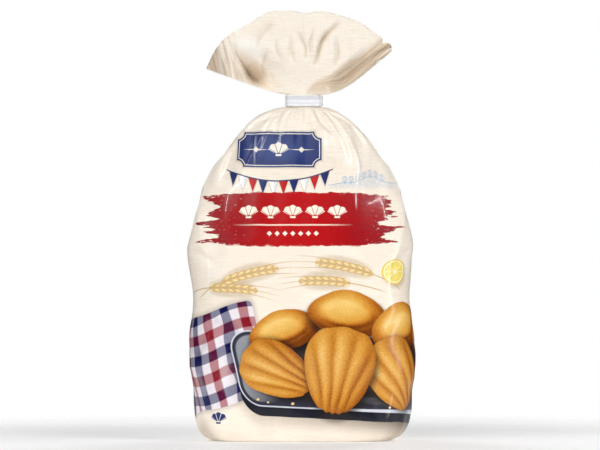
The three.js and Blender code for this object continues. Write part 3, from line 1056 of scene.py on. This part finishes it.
    def cloth(self, at, turn, half, cell):
        """A checked cloth, of navy, white and red threads."""
        local = self.place(self.chart, at, turn)
        x, y = self.split(local)
        outline = self.box(x, y + 1.2 * self.calc("SINE", x * 0.11), *half, 3)
        self.paint(CLOTH["shadow"], self.fade(outline, 4.5, -1.0, smooth=True) * 0.5)
        folds = self.noise(self.place(local, size=(16, 34)), 1.0, 1.0)
        x = x + (folds - 0.5) * 9
        y = y + 2.5 * self.calc("SINE", x * 0.09 + 1.0)
        worn = self.noise(self.place(local, size=(3, 3)), 1.0, 3.0)
        above = self.colour
        bands = []
        for value in (x, y):
            repeat = self.calc("FRACT", value / (4 * cell))
            navy = self.inside(abs(repeat - 0.125) - 0.125, 0.03)
            red = self.inside(abs(repeat - 0.625) - 0.125, 0.03)
            self.colour = (*linear(*CLOTH["white"]), 1)
            self.paint(CLOTH["navy"], navy)
            self.paint(CLOTH["red"], red)
            bands.append(self.colour)
        self.colour = bands[0]
        self.multiply(bands[1])
        crossed = self.colour
        self.colour = bands[0]
        self.paint(bands[1], 0.5)
        self.paint(crossed, 0.5)
        self.multiply(CLOTH["fold"], self.fade(folds, 0.44, 0.3, smooth=True) * 0.5)
        self.paint(WHITE, self.fade(folds, 0.58, 0.76, smooth=True) * 0.14)
        self.paint(CLOTH["worn"], self.fade(worn, 0.5, 0.75) * 0.1)
        cloth = self.colour
        self.colour = above
        self.paint(cloth, self.inside(outline, 0.4))

    def board(self, at, turn, half, taper):
        """A dark board lying on the linen, nearer and wider at its lower edge."""
        local = self.place(self.chart, at, turn)
        x, y = self.split(local)
        wide = x * (1 + y * taper)
        shadow = self.fade(self.box(wide, y + 9, *half, BOARD_CORNER), 9, -3, smooth=True)
        self.multiply(BOARD["shadow"], shadow * self.fade(x, -50, 40, 0.3, 0.85))
        self.paint(BOARD["side"], self.inside(self.box(wide, y + 6.5, *half, BOARD_CORNER), 0.4))
        top = self.box(wide, y, *half, BOARD_CORNER)
        self.paint(BOARD["rim"], self.inside(top - 0.1, 0.4))
        rim = self.fade(x - 2 * y, 20, 110, 0.8, 3.0)
        self.paint(BOARD["bevel"], self.inside(top + rim, 0.4))
        self.paint(BOARD["face"], self.inside(top + 4.2, 5))
        sheen = self.noise(self.place(local, size=(52, 9)), 1.0, 2.0)
        face = self.inside(top + 3.2, 1.0)
        self.paint(BOARD["sheen"], self.fade(sheen, 0.48, 0.8) * 0.4 * face)
        left = self.fade(x, -half[0] + 34, -half[0] + 2, smooth=True)
        self.paint(BOARD["bright end"], left * face * 0.7)
        speck = self.noise(self.chart, 1.4, 2.0)
        self.paint(BOARD["speck"], self.fade(speck, 0.55, 0.75) * face * 0.35)

    def crust(self, local, height, ramp, mask, grain=0.16):
        """Colours a cake by how brightly it is lit, with a fine crumb."""
        fine = self.noise(self.chart, 0.7, 4.0, 0.7)
        patch = self.noise(self.place(local, (3, 1)), 1.6, 2.0)
        lit = height + (fine - 0.5) * grain + (patch - 0.5) * 0.22
        self.paint(self.ramp(lit, ramp), mask)

    def smooth_cake(self, at, turn, half):
        """A cake seen from its back, a hump inside a browned rim."""
        local = self.place(self.chart, at, turn, half)
        p, q = self.split(local)
        wobble = self.noise(self.place(local, (at[0], at[1])), 1.2, 2.0)
        q = q + (wobble - 0.5) * 0.2 + 0.1 * p * p
        r = self.calc("SQRT", abs(p) ** 1.7 + q * q)
        soft = 0.4 / min(half)
        shadow = self.length(p - 0.05, q + 0.16)
        self.paint(CAKE_SHADOW, self.fade(shadow, 1.2, 0.92, smooth=True) * 0.8)
        brim = self.fade(r, 1.0, 0.72)
        reach = self.length(p + 0.06, (q - 0.08) * 1.15)
        hump = self.fade(reach, 0.74, 0.42, smooth=True)
        fall = self.fade(abs(reach - 0.72), 0.14, 0.0) * self.fade(q - 0.4 * p, 0.2, -0.4)
        height = 0.34 * brim + 0.36 * q - 0.16 * p + 0.28 * hump - 0.16 * fall
        self.crust(local, height, GOLD_RAMP, self.inside(r - 1, soft), 0.36)

    def ribbed_cake(self, at, turn, half):
        """A cake seen from its ribbed side, its narrow end towards its lower end."""
        local = self.place(self.chart, at, turn, half)
        p, q = self.split(local)
        wobble = self.noise(self.place(local, (at[0], at[1])), 1.3, 1.0)
        p = (p + (wobble - 0.5) * 0.1) / (1 + 0.2 * q)
        angle = self.calc("ARCTAN2", p, q + 2.3)
        wave = self.calc("COSINE", angle * (CAKE_RIBS * 2 * math.pi))
        slope = self.calc("SINE", angle * (CAKE_RIBS * 2 * math.pi))
        r = self.calc("SQRT", abs(p) ** 2.3 + abs(q) ** 2.3)
        r = r - 0.018 * wave * self.fade(abs(q), 0.4, 1)
        soft = 0.4 / min(half)
        shadow = self.length(p - 0.06, q + 0.1)
        self.paint(CAKE_SHADOW, self.fade(shadow, 1.22, 0.94, smooth=True) * 0.8)
        dome = self.calc("SQRT", self.most(1 - r * r, 0))
        deep = self.fade(r, 1.0, 0.7)
        height = 0.3 + 0.36 * dome + 0.12 * q - 0.14 * p
        height = height + deep * (0.1 * wave - 0.08 * slope)
        height = height - self.fade(wave, -0.4, -1.0) * deep * 0.14
        self.crust(local, height, SHELL_RAMP, self.inside(r - 1, soft), 0.6)

    def wheat(self, at, turn, length, curve):
        """An ear of wheat with its stalk and beard."""
        local = self.place(self.chart, at, turn)
        s, t = self.split(local)
        t = t * curve + s * s * 0.0035
        end = length / 2
        taper = self.calc("SQRT", self.most(1 - (s / end) ** 2, 0)) * 1.35
        side = abs(t)
        hairs = abs(self.calc("SINE", self.calc("ARCTAN2", t, s + end + 12) * 46))
        beard = self.fade(hairs, 0.45, 0.15)
        reach = self.fade(s, -end * 0.6, 0) * self.fade(s, end + 17, end - 4)
        spread = self.fade(side - 1.5 - (s + end) * 0.1, 0.8, -0.8)
        self.paint(WHEAT["beard"], beard * reach * spread * 0.75)
        run = self.fade(s, 4, 2)
        stalk = self.inside(side - 0.35, 0.3) * run * self.fade(s, -end - 26, -end - 20)
        self.paint(WHEAT["stalk"], stalk)
        self.paint(WHEAT["shadow"], self.fade(side - 3.4 * taper - 1.4, 1.6, -0.6) * taper * 0.35)
        cell = self.calc("FRACT", (s - side * 1.1) / GRAIN_PITCH)
        grain = self.length((cell - 0.5) * GRAIN_PITCH / 2.9, (side - 1.7) / 1.7)
        body = self.inside(grain - 1.0, 0.25) * self.inside(side - 3.2 * taper, 0.4)
        self.paint(self.ramp(1.15 - grain * 0.9, WHEAT_RAMP), body)

    def lemon(self, at, radius):
        """A round slice."""
        x, y = self.beyond(at)
        r = self.length(x, y * 1.25)
        shadow = self.length(x - 1.5, y * 1.25 + 2.2)
        self.paint(LEMON["shadow"], self.fade(shadow, radius + 2.5, radius - 2) * 0.7)
        self.paint(LEMON["rind"], self.inside(r - radius))
        self.paint(LEMON["pith"], self.inside(r - radius + 1.1))
        angle = self.calc("ARCTAN2", y * 1.25, x)
        wedge = abs(self.calc("SINE", angle * 4.0)) * r
        flesh = self.fade(wedge, 0.5, 1.1) * self.inside(r - radius + 2.2, 0.6)
        flesh = flesh * self.fade(r, 0.8, 1.6)
        self.paint(self.ramp(self.streaks((1.1, 1.1)), LEMON_RAMP), flesh)

    def plaque(self, at, half):
        """A navy plate with notched corners, a cream line and a shell between two sprigs."""
        x, y = self.beyond(at)
        notch = self.length(abs(x) - half[0], abs(y) - half[1])
        plate = self.most(self.box(x, y, *half), 5.0 - notch)
        self.paint(PLATE["shadow"], self.fade(plate - 0.2, 1.6, -0.4) * 0.6)
        self.paint(NAVY, self.inside(plate))
        glow = self.fade(self.length(x / half[0], y / half[1]), 0.95, 0.1, smooth=True)
        self.paint(PLATE["glow"], glow * 0.75 * self.inside(plate))
        line = abs(plate + 1.4) - 0.28
        self.paint(PLATE["line"], self.inside(line, 0.25))
        self.paint(PLATE["shell"], self.shell(x, y - 0.4, 5.0))
        s = abs(x) - 16
        ray = self.inside(abs(y) - 0.45 * (1 - abs(s) / 9), 0.3) * self.inside(abs(s) - 9, 0.3)
        gem = self.inside(abs(s) + abs(y) - 2.1, 0.4)
        self.paint(PLATE["sprig"], self.most(ray, gem))

    def bunting(self, left, right, hang, sag, pitch, depth):
        """A sagging string of small pennants."""
        middle = (left + right) / 2
        span = (right - left) / 2
        across = self.x - middle
        string = hang + sag * (across / span) ** 2
        down = string - self.y
        count = (self.x - left) / pitch
        which = self.calc("FLOOR", count)
        u = (count - which - 0.5) * pitch
        side = abs(u) - (pitch * 0.46) * (1 - down / depth)
        within = self.inside(abs(across) - span, 0.3)
        flag = self.inside(self.most(side, -down), 0.35) * within
        third = self.calc("FLOORED_MODULO", which, 3.0)
        shadow = self.inside(self.most(side - 0.4, -down - 0.2), 1.4)
        self.paint(PENNANT["shadow"], shadow * within * 0.55)
        self.paint(NAVY, flag)
        self.paint(PENNANT["white"], flag * self.inside(abs(third - 1) - 0.5, 0.1))
        self.paint(PENNANT["red"], flag * self.inside(abs(third - 2) - 0.5, 0.1))
        self.paint(BLACK, flag * self.fade(u, pitch * 0.05, pitch * 0.1) * 0.16)
        thread = self.inside(abs(down) - 0.45, 0.3)
        self.paint(PENNANT["string"], thread * self.inside(abs(across) - span - 2, 1))

    def hills(self, at, half):
        """A pale hill with a row of round trees, as in a pencil sketch."""
        x, y = self.beyond(at)
        ends = self.inside(abs(x) - half[0], 6)
        hatch = self.streaks((2.2, 0.5), detail=1.0)
        top = self.calc("SINE", x * 0.13 + 0.9) * 2.4 + self.calc("SINE", x * 0.29) * 0.9
        step = self.calc("WRAP", x, TREE_PITCH / 2, -TREE_PITCH / 2)
        crown = self.length(step / 1.7, (y - top - 2.4) / 2.1)
        stem = self.box(step, y - top, 0.2, 1.2)
        grove = self.inside(abs(x) - TREE_PITCH * TREES / 2, 0.3)
        hill = self.inside(y - top, 0.3) * self.inside(-y - half[1], 3) * ends
        self.paint(HILL["ground"], hill * self.fade(hatch, 0.34, 0.6) * 0.6)
        self.paint(HILL["line"], self.inside(abs(y - top) - 0.25, 0.3) * ends)
        leaves = self.inside(crown - 1, 0.25) * self.fade(hatch, 0.36, 0.56)
        self.paint(HILL["crown"], leaves * grove)
        self.paint(HILL["line"], self.inside(abs(crown - 1) - 0.08, 0.15) * grove * 0.8)
        self.paint(HILL["line"], self.inside(stem, 0.2) * grove)

    def brush_band(self, at, half):
        """A red stroke of a dry brush, with a row of shells, a thin line and a row of dots."""
        x, y = self.beyond(at)
        chunks = self.streaks((30, 5.2), (3, 5), detail=1.0)
        ragged = self.streaks((14, 1.9), detail=3.0, roughness=0.6)
        fine = self.streaks((5, 0.8), (9, 4))
        rim = self.streaks((7, 2.5), (2, 9), detail=3.0)
        ends = abs(x) - half[0] + (chunks - 0.5) * 44 + (ragged - 0.5) * 24 + (fine - 0.5) * 8
        sides = abs(y) - half[1] + (rim - 0.5) * 3.4 + self.fade(abs(x), 40, half[0]) * 2.2
        band = self.inside(self.most(ends, sides), 0.6)
        worn = self.streaks((3.4, 0.9), detail=3.0, roughness=0.7)
        edge = self.fade(abs(x), 26, half[0] + 4)
        bare = self.fade(worn + edge * 0.1 + self.fade(sides, -2.4, 0) * 0.12, 0.7, 0.76)
        self.paint(RED, band * (1 - bare * 0.85))
        dark = self.streaks((18, 6), (7, 7), detail=3.0)
        self.paint(STROKE["dark"], band * edge * self.fade(dark, 0.3, 0.6) * (1 - bare))
        self.paint(STROKE["bright"], band * self.fade(abs(x), 40, 10) * 0.6)
        x = x + STROKE_SHIFT
        pitch = SHELL_ROW["pitch"]
        step = self.calc("WRAP", x, pitch / 2, -pitch / 2)
        shell = self.shell(step, y - SHELL_ROW["up"], SHELL_ROW["size"])
        self.paint(SHELL_CREAM, shell * self.inside(abs(x) - pitch * SHELL_ROW["count"] / 2, 0.5))
        thin = self.inside(abs(y + 3.9) - 0.5, 0.4) * self.fade(abs(x), 42, 22)
        self.paint(STROKE["line"], thin * 0.95)
        pitch = DOT_ROW["pitch"]
        step = self.calc("WRAP", x, pitch / 2, -pitch / 2)
        dot = self.inside(abs(step) + abs(y + DOT_ROW["down"]) - DOT_ROW["half"], 0.4)
        self.paint(STROKE["dot"], dot * self.inside(abs(x) - DOT_ROW["reach"], 0.4))

    def back_panel(self):
        """A blank pale panel with a thin frame, and a red bar with a row of shells over it."""
        x = BACK_MIDDLE - abs(self.x)
        panel = self.box(x, self.y - BACK_PANEL["up"], *BACK_PANEL["half"], BACK_PANEL["corner"])
        self.paint(BACK_LABEL["panel"], self.inside(panel))
        self.paint(BACK_LABEL["frame"], self.inside(abs(panel + 1.5) - 0.25))
        half, pitch = BACK_BAR["half"], BACK_BAR["pitch"]
        y = self.y - BACK_BAR["up"]
        self.paint(RED, self.inside(self.box(x, y, *half, half[1]), 0.4))
        shell = self.shell(self.calc("WRAP", x, pitch / 2, -pitch / 2), y, BACK_BAR["size"])
        self.paint(SHELL_CREAM, shell * self.inside(x - BACK_BAR["reach"]))

    def crumbs(self, spots):
        """Crumbs at (across, up, size)."""
        for x, y, size in spots:
            p, q = self.split(self.place(self.chart, (x, y), 20, (size, size * 0.8)))
            self.paint(CRUMB, self.inside(self.length(p, q) - 1, 0.5))

    def wrinkles(self, bump):
        """Paints highlights along the film's wrinkles, and adds the wrinkles to a bump."""
        for middle, bow, low, high, height, white in WRINKLES:
            bent = self.x - (middle[0] + bow * ((self.y - middle[1]) / 20) ** 2)
            ends = self.fade(abs(self.y - (low + high) / 2), (high - low) / 2, 0, smooth=True)
            line = self.fade(abs(bent), 1.6, 0, smooth=True) * ends
            bump = bump + line * height
            # a painted highlight along each wrinkle
            self.paint(FILM_SHADE["wrinkle highlight"], self.fade(abs(bent), 0.9, 0.3) * ends * white)
        return bump

    def seam(self, bump):
        """Adds the seal's fine ribs along the folded seam down the back to a bump."""
        ribbed = self.inside(abs(self.x - BACK_MIDDLE + SEAL_MIDDLE) - SEAL_HALF, 1)
        return bump + ribbed * self.calc("SINE", self.y * (math.pi / SEAL_PITCH)) * 0.3


def printed_film(settings):
    """The outer side of the film: its print, with painted shade and light, under a clear gloss."""
    sheet = PrintSheet("film_print", settings.cream)
    sheet.linen()
    sheet.shades()
    sheet.hills(HILLS_AT, HILLS_HALF)
    for ear in EARS:
        sheet.wheat(*ear)
    sheet.lemon(LEMON_AT, LEMON_RADIUS)
    sheet.cloth(CLOTH_AT, CLOTH_TURN, CLOTH_HALF, CLOTH_CELL)
    sheet.board(BOARD_AT, BOARD_TURN, BOARD_HALF, BOARD_TAPER)
    for cake in SMOOTH_CAKES:
        sheet.smooth_cake(*cake)
    for cake in RIBBED_CAKES:
        sheet.ribbed_cake(*cake)
    sheet.crumbs(CRUMBS)
    sheet.plaque(PLATE_AT, PLATE_HALF)
    sheet.bunting(**PENNANTS)
    sheet.brush_band(STROKE_AT, STROKE_HALF)
    sheet.paint(NAVY, sheet.shell(*sheet.beyond(LOW_SHELL_AT), LOW_SHELL_SIZE))
    sheet.back_panel()
    place = sheet.object_place()
    patches = sheet.noise(place, 70.0, 3.0)
    crinkle = sheet.seam(sheet.wrinkles(sheet.noise(place, 260.0, 3.0, 0.6)))
    gloss = {"Specular_IOR_Level": 0.3, "Coat_Weight": 0.22, "Coat_Roughness": 0.07, "IOR": 1.45}
    return sheet.finish(sheet.fade(patches, 0.3, 0.7, 0.27, 0.36), crinkle, 0.12 * MM, **gloss)


def bare_film():
    """The inner side of the film."""
    sheet = Sheet("film_inside")
    place = sheet.object_place()
    sheet.colour = (*linear(*INSIDE_WHITE), 1)
    cloudy = sheet.noise(place, 45.0, 3.0)
    sheet.paint(INSIDE_CLOUD, sheet.fade(cloudy, 0.4, 0.7) * 0.6)
    return sheet.finish(
        sheet.fade(cloudy, 0.3, 0.7, 0.34, 0.46), sheet.noise(place, 300.0, 3.0), 0.1 * MM
    )


def clip_plastic():
    """Milky plastic of the clip, with painted shade along two lines inside its edges."""
    sheet = Sheet("clip_plastic")
    place = sheet.object_place()
    sheet.colour = (*linear(*CLIP_WHITE), 1)
    cloudy = sheet.noise(place, 220.0, 3.0)
    sheet.paint(CLIP_CLOUD, sheet.fade(cloudy, 0.42, 0.7) * 0.6)
    height = sheet.axis(place, "Z") - (CLIP_LOW.z + CLIP_HIGH.z) / 2
    for at, half, colour in CLIP_SHADE_LINES:
        line = sheet.fade(abs(height - at * MM), (half + 0.3) * MM, (half - 0.3) * MM)
        # painted shade under the top bead and above the bottom bead
        sheet.paint(colour, line * 0.8)
    return sheet.finish(
        sheet.fade(cloudy, 0.3, 0.7, 0.36, 0.46), sheet.noise(place, 900.0, 2.0), 0.04 * MM
    )


def studio_card():
    """Matt white of the floor, which fades out towards its rim."""
    sheet = Sheet("studio_card")
    place = sheet.object_place()
    x, y = sheet.split(place)
    sheet.colour = (*linear(*FLOOR_WHITE), 1)
    grain = sheet.noise(place, 3.0, 2.0)
    sheet.paint(FLOOR_GREY, sheet.fade(grain, 0.4, 0.6))
    gone = sheet.fade(sheet.length(x, y), FLOOR_RADIUS * 0.9, FLOOR_RADIUS * 0.3, smooth=True)
    sheet.feed(sheet.shader.inputs["Alpha"], gone)
    glow = {"Emission_Color": (1, 1, 1, 1), "Emission_Strength": FLOOR_GLOW}
    return sheet.finish(0.9, grain, 0.05 * MM, **glow)


# ---- Clip ----

CLIP_WALL = 0.7 * MM
CLIP_BEAD = 0.4 * MM
BEAD_MIDDLE = 0.65 * MM  # below the strip's edge
BEAD_RISE = 0.45 * MM
BEAD_STEPS = 6
CLIP_GAP = 0.35 * MM
CLIP_GAP_FRONT = 0.65 * MM
CORNER_STEPS = 10
CLIP_HALF_WIDTH = NECK_HALF_WIDTH + CLIP_GAP
CLIP_HALF_DEPTH = NECK_HALF_DEPTH + CLIP_GAP_FRONT
CLIP_RADIUS = CLIP_HALF_DEPTH - 0.6 * MM
LAP_THICKNESS = 0.5 * MM
LAP_SOFT = 0.2 * MM  # of the end's rounded edges
LAP_ROUND = 0.06 * MM
LAP_SLACK = 0.35 * MM  # of the strip's end to the strip's two edges
LAP_FROM = -30  # degrees at which the end stops, round the right front corner
LAP_BACK = 9 * MM


def both_edges(side):
    """A strip's whole cut outline, from that of its upper half."""
    return side + [(out, -height) for out, height in reversed(side)]


def bead_profile(half):
    """The strip's cut outline as (distance out, height), thick along both edges."""
    top = [(0, half), (CLIP_WALL, half)]
    for step in range(BEAD_STEPS + 1):
        angle = math.pi / 2 - step * math.pi / BEAD_STEPS
        out = CLIP_WALL + CLIP_BEAD * math.cos(angle)
        top.append((out, half - BEAD_MIDDLE + BEAD_RISE * math.sin(angle)))
    return both_edges([*top, (CLIP_WALL, half - 2 * BEAD_MIDDLE)])


def lap_profile(half):
    """The cut outline of the strip's end, which is lapped over the strip."""
    low, high = CLIP_WALL / 2, CLIP_WALL + CLIP_BEAD + LAP_THICKNESS
    corner = (high - LAP_ROUND, half - LAP_ROUND)
    return both_edges([(low, half), (high - LAP_SOFT, half), corner, (high, half - LAP_SOFT)])


def sweep_strip(bm, profile, start, runs, closed):
    """Takes a cut outline round the neck: each run is a straight's vector, or a corner's angle."""
    radius, place, heading = CLIP_RADIUS, Vector(start[0]), math.radians(start[1])
    out = Vector((math.cos(heading), math.sin(heading), 0))
    ring = [bm.verts.new(place + out * (radius + d) + Vector((0, 0, z))) for d, z in profile]
    edges = [bm.edges.new((a, b)) for a, b in zip(ring, ring[1:] + ring[:1])]
    if not closed:
        bm.faces.new(ring)
    for run in runs:
        if isinstance(run, Vector):
            made = bmesh.ops.extrude_edge_only(bm, edges=edges)["geom"]
            moved = [v for v in made if isinstance(v, bmesh.types.BMVert)]
            bmesh.ops.translate(bm, verts=moved, vec=run)
            place = place + run
            made = [e for e in made if isinstance(e, bmesh.types.BMEdge)]
            edges = [e for e in made if all(v in moved for v in e.verts)]
        else:
            turn = {"axis": (0, 0, 1), "angle": math.radians(run), "steps": CORNER_STEPS}
            made = bmesh.ops.spin(bm, geom=edges, cent=place, **turn)["geom_last"]
            edges = [e for e in made if isinstance(e, bmesh.types.BMEdge)]
    if not closed:
        bmesh.ops.edgeloop_fill(bm, edges=edges)


def clip_mesh():
    """The strip round the neck, with its end lapped over at the right front."""
    across = CLIP_HALF_WIDTH - CLIP_RADIUS
    along = CLIP_HALF_DEPTH - CLIP_RADIUS
    half = (CLIP_HIGH.z - CLIP_LOW.z) / 2
    left, back = Vector((-2 * across, 0, 0)), Vector((0, -2 * along, 0))
    bm = bmesh.new()
    strip = [90, left, 90, back, 90, -left, 90, -back]
    sweep_strip(bm, bead_profile(half), (Vector((across, along, 0)), 0), strip, True)
    bmesh.ops.remove_doubles(bm, verts=bm.verts, dist=SAME_SPOT)
    lap = [-LAP_FROM, -back, 90, Vector((-(LAP_BACK - CLIP_RADIUS), 0, 0))]
    start = (Vector((across, -along, 0)), LAP_FROM)
    sweep_strip(bm, lap_profile(half - LAP_SLACK), start, lap, False)
    bmesh.ops.recalc_face_normals(bm, faces=bm.faces)
    bmesh.ops.translate(bm, verts=bm.verts, vec=(NECK_SHIFT, 0, (CLIP_LOW.z + CLIP_HIGH.z) / 2))
    mesh = bpy.data.meshes.new("neck_clip")
    bm.to_mesh(mesh)
    bm.free()
    return mesh


# ---- Studio ----

BAG_MIDDLE = (0, 0, 0.15)
# Lamps as (place, size). A lamp with one to each side is given on the right.
SOFT_LAMPS = {
    "front": ((-0.5, -1.35, 0.4), (0.7, 0.55)),
    "left": ((-1.1, -0.95, 0.95), (0.6, 0.6)),
    "right": ((1.0, -1.0, 0.95), (0.6, 0.6)),
}
TOP_LAMP = ((-0.2, -1.1, 1.42), (0.7, 0.55))
STREAK_LAMP = ((0.53, -0.59, 1.42), (0.05, 1.3))
SIDE_LAMP = ((0.45, -0.3, 0.12), (0.1, 0.36))
SIDE_LAMP_AIM = (0, 0, 0.12)
SIDE_UNEVEN = 0.65  # how much stronger the right one is than their mean
REAR_LAMP = ((0.9, 1.5, 0.9), (0.8, 0.8))
CAMERA_ACROSS, CAMERA_HEIGHT = -0.0010, 0.1505
CAMERA_REACH = 20
SENSOR_WIDTH = 36
SEEN_WIDTH = 420 * MM  # at the bag's middle
FLOOR_RADIUS = 0.5
FLOOR_SPOKES = 96
FLOOR_WHITE = (248, 248, 249)
FLOOR_GREY = (236, 236, 237)
FLOOR_GLOW = 0.17


def floor_mesh():
    """A round floor."""
    bm = bmesh.new()
    bmesh.ops.create_circle(bm, cap_ends=True, segments=FLOOR_SPOKES, radius=FLOOR_RADIUS)
    mesh = bpy.data.meshes.new("studio_floor")
    bm.to_mesh(mesh)
    bm.free()
    return mesh


def add_lamp(name, place, aim, size, power):
    """A flat lamp turned towards a point."""
    lamp = bpy.data.lights.new(name, "AREA")
    lamp.shape = "RECTANGLE"
    lamp.size, lamp.size_y = size
    lamp.energy = power
    holder = bpy.data.objects.new(name, lamp)
    bpy.context.scene.collection.objects.link(holder)
    holder.location = place
    holder.rotation_euler = (Vector(aim) - Vector(place)).to_track_quat("-Z", "Y").to_euler()
    return holder


def to_side(lamp, side):
    """A lamp's place and size, to the left (-1) or the right (1)."""
    (x, y, z), size = lamp
    return (side * x, y, z), size


def studio_sky(scene, strength):
    """A dim white sky that the camera sees as plain white."""
    world = bpy.data.worlds.new("studio")
    scene.world = world
    world.use_nodes = True
    tree = world.node_tree
    dim = tree.nodes["Background"]
    dim.inputs["Color"].default_value = (1, 1, 1, 1)
    dim.inputs["Strength"].default_value = strength
    plain = tree.nodes.new("ShaderNodeBackground")
    plain.inputs["Color"].default_value = (1, 1, 1, 1)
    seen = tree.nodes.new("ShaderNodeLightPath")
    either = tree.nodes.new("ShaderNodeMixShader")
    tree.links.new(seen.outputs["Is Camera Ray"], either.inputs[0])
    tree.links.new(dim.outputs[0], either.inputs[1])
    tree.links.new(plain.outputs[0], either.inputs[2])
    tree.links.new(either.outputs[0], tree.nodes["World Output"].inputs["Surface"])


# ---- Settings, operators and panel ----


class FilmSettings(bpy.types.PropertyGroup):
    """The film's look."""

    cream: FloatVectorProperty(
        name="Cream",
        description="Ground colour of the print",
        subtype="COLOR",
        size=3,
        min=0,
        max=1,
        default=linear(*CREAM),
    )


class StageSettings(bpy.types.PropertyGroup):
    """The studio's light and camera."""

    distance: FloatProperty(
        name="Camera distance",
        description="From the camera to the bag's middle",
        default=3.0,
        unit="LENGTH",
    )
    front: FloatProperty(
        name="Front light", description="Power of the light in front", default=9.3, unit="POWER"
    )
    above: FloatProperty(
        name="Top light", description="Power of the light above", default=2.2, unit="POWER"
    )
    left: FloatProperty(
        name="Left light", description="Power of the light on the left", default=6.6, unit="POWER"
    )
    right: FloatProperty(
        name="Right light", description="Power of the light on the right", default=6.8, unit="POWER"
    )
    side: FloatProperty(
        name="Low lights",
        description="Power of each low light beside the bag",
        default=0.55,
        unit="POWER",
    )
    streak: FloatProperty(
        name="Streak lights",
        description="Power of the narrow lights that show only as gloss",
        default=10.0,
        unit="POWER",
    )
    rear: FloatProperty(
        name="Rear lights",
        description="Power of each light behind the bag",
        default=11.0,
        unit="POWER",
    )
    sky: FloatProperty(name="Sky", description="Strength of the white all round", default=0.03)


class CakeBagSettings(bpy.types.PropertyGroup):
    """All settings of the bag and its studio."""

    film: PointerProperty(type=FilmSettings)
    stage: PointerProperty(type=StageSettings)


class CAKEBAG_OT_film(bpy.types.Operator):
    """Make the film bag, gathered at its neck"""

    bl_idname = "cakebag.film"
    bl_label = "Film Bag"

    def execute(self, context):
        settings = context.scene.cake_bag.film
        materials = [printed_film(settings), bare_film()]
        add_piece("bag_film", film_mesh(), materials, "bag")
        return {"FINISHED"}


class CAKEBAG_OT_clip(bpy.types.Operator):
    """Make the plastic strip round the neck"""

    bl_idname = "cakebag.clip"
    bl_label = "Neck Clip"

    def execute(self, context):
        add_piece("neck_clip", clip_mesh(), [clip_plastic()], "clip")
        return {"FINISHED"}


class CAKEBAG_OT_stage(bpy.types.Operator):
    """Make the floor, the sky, the lights and the camera"""

    bl_idname = "cakebag.stage"
    bl_label = "Studio"

    def execute(self, context):
        settings = context.scene.cake_bag.stage
        scene = context.scene
        scene.view_settings.view_transform = "Standard"
        floor = bpy.data.objects.new("studio_floor", floor_mesh())
        scene.collection.objects.link(floor)
        floor.data.materials.append(studio_card())
        studio_sky(scene, settings.sky)

        for name, (place, size) in SOFT_LAMPS.items():
            add_lamp(name, place, BAG_MIDDLE, size, getattr(settings, name)).visible_glossy = False
        add_lamp("above", TOP_LAMP[0], BAG_MIDDLE, TOP_LAMP[1], settings.above)
        for side in (-1, 1):
            place, size = to_side(STREAK_LAMP, side)
            streak = add_lamp(f"streak_{side + 1}", place, BAG_MIDDLE, size, settings.streak)
            streak.visible_diffuse = False
        for side in (-1, 1):
            place, size = to_side(SIDE_LAMP, side)
            power = settings.side * (1 + SIDE_UNEVEN * side)
            add_lamp(f"side_{side + 1}", place, SIDE_LAMP_AIM, size, power)
            place, size = to_side(REAR_LAMP, side)
            add_lamp(f"rear_{side + 1}", place, BAG_MIDDLE, size, settings.rear)

        camera = bpy.data.cameras.new("camera")
        camera.sensor_width = SENSOR_WIDTH
        camera.lens = SENSOR_WIDTH * settings.distance / SEEN_WIDTH
        camera.clip_end = CAMERA_REACH
        holder = bpy.data.objects.new("camera", camera)
        scene.collection.objects.link(holder)
        holder.location = (CAMERA_ACROSS, -settings.distance, CAMERA_HEIGHT)
        holder.rotation_euler = (math.pi / 2, 0, 0)
        scene.camera = holder
        return {"FINISHED"}


PIECES = (CAKEBAG_OT_stage, CAKEBAG_OT_film, CAKEBAG_OT_clip)


class CAKEBAG_PT_panel(bpy.types.Panel):
    """Settings of the bag and buttons for its pieces"""

    bl_idname = "CAKEBAG_PT_panel"
    bl_label = "Cake Bag"
    bl_space_type = "VIEW_3D"
    bl_region_type = "UI"
    bl_category = "Cake Bag"

    def draw(self, context):
        settings = context.scene.cake_bag
        for group in (settings.film, settings.stage):
            for name in group.__annotations__:
                self.layout.prop(group, name)
        for operator in PIECES:
            self.layout.operator(operator.bl_idname)


CLASSES = (FilmSettings, StageSettings, CakeBagSettings, *PIECES, CAKEBAG_PT_panel)


def register():
    for cls in CLASSES:
        bpy.utils.register_class(cls)
    bpy.types.Scene.cake_bag = PointerProperty(type=CakeBagSettings)


def unregister():
    del bpy.types.Scene.cake_bag
    for cls in reversed(CLASSES):
        bpy.utils.unregister_class(cls)


def main():
    register()
    bpy.ops.cakebag.stage()
    bpy.ops.cakebag.film()
    bpy.ops.cakebag.clip()


if __name__ == "__main__":
    main()
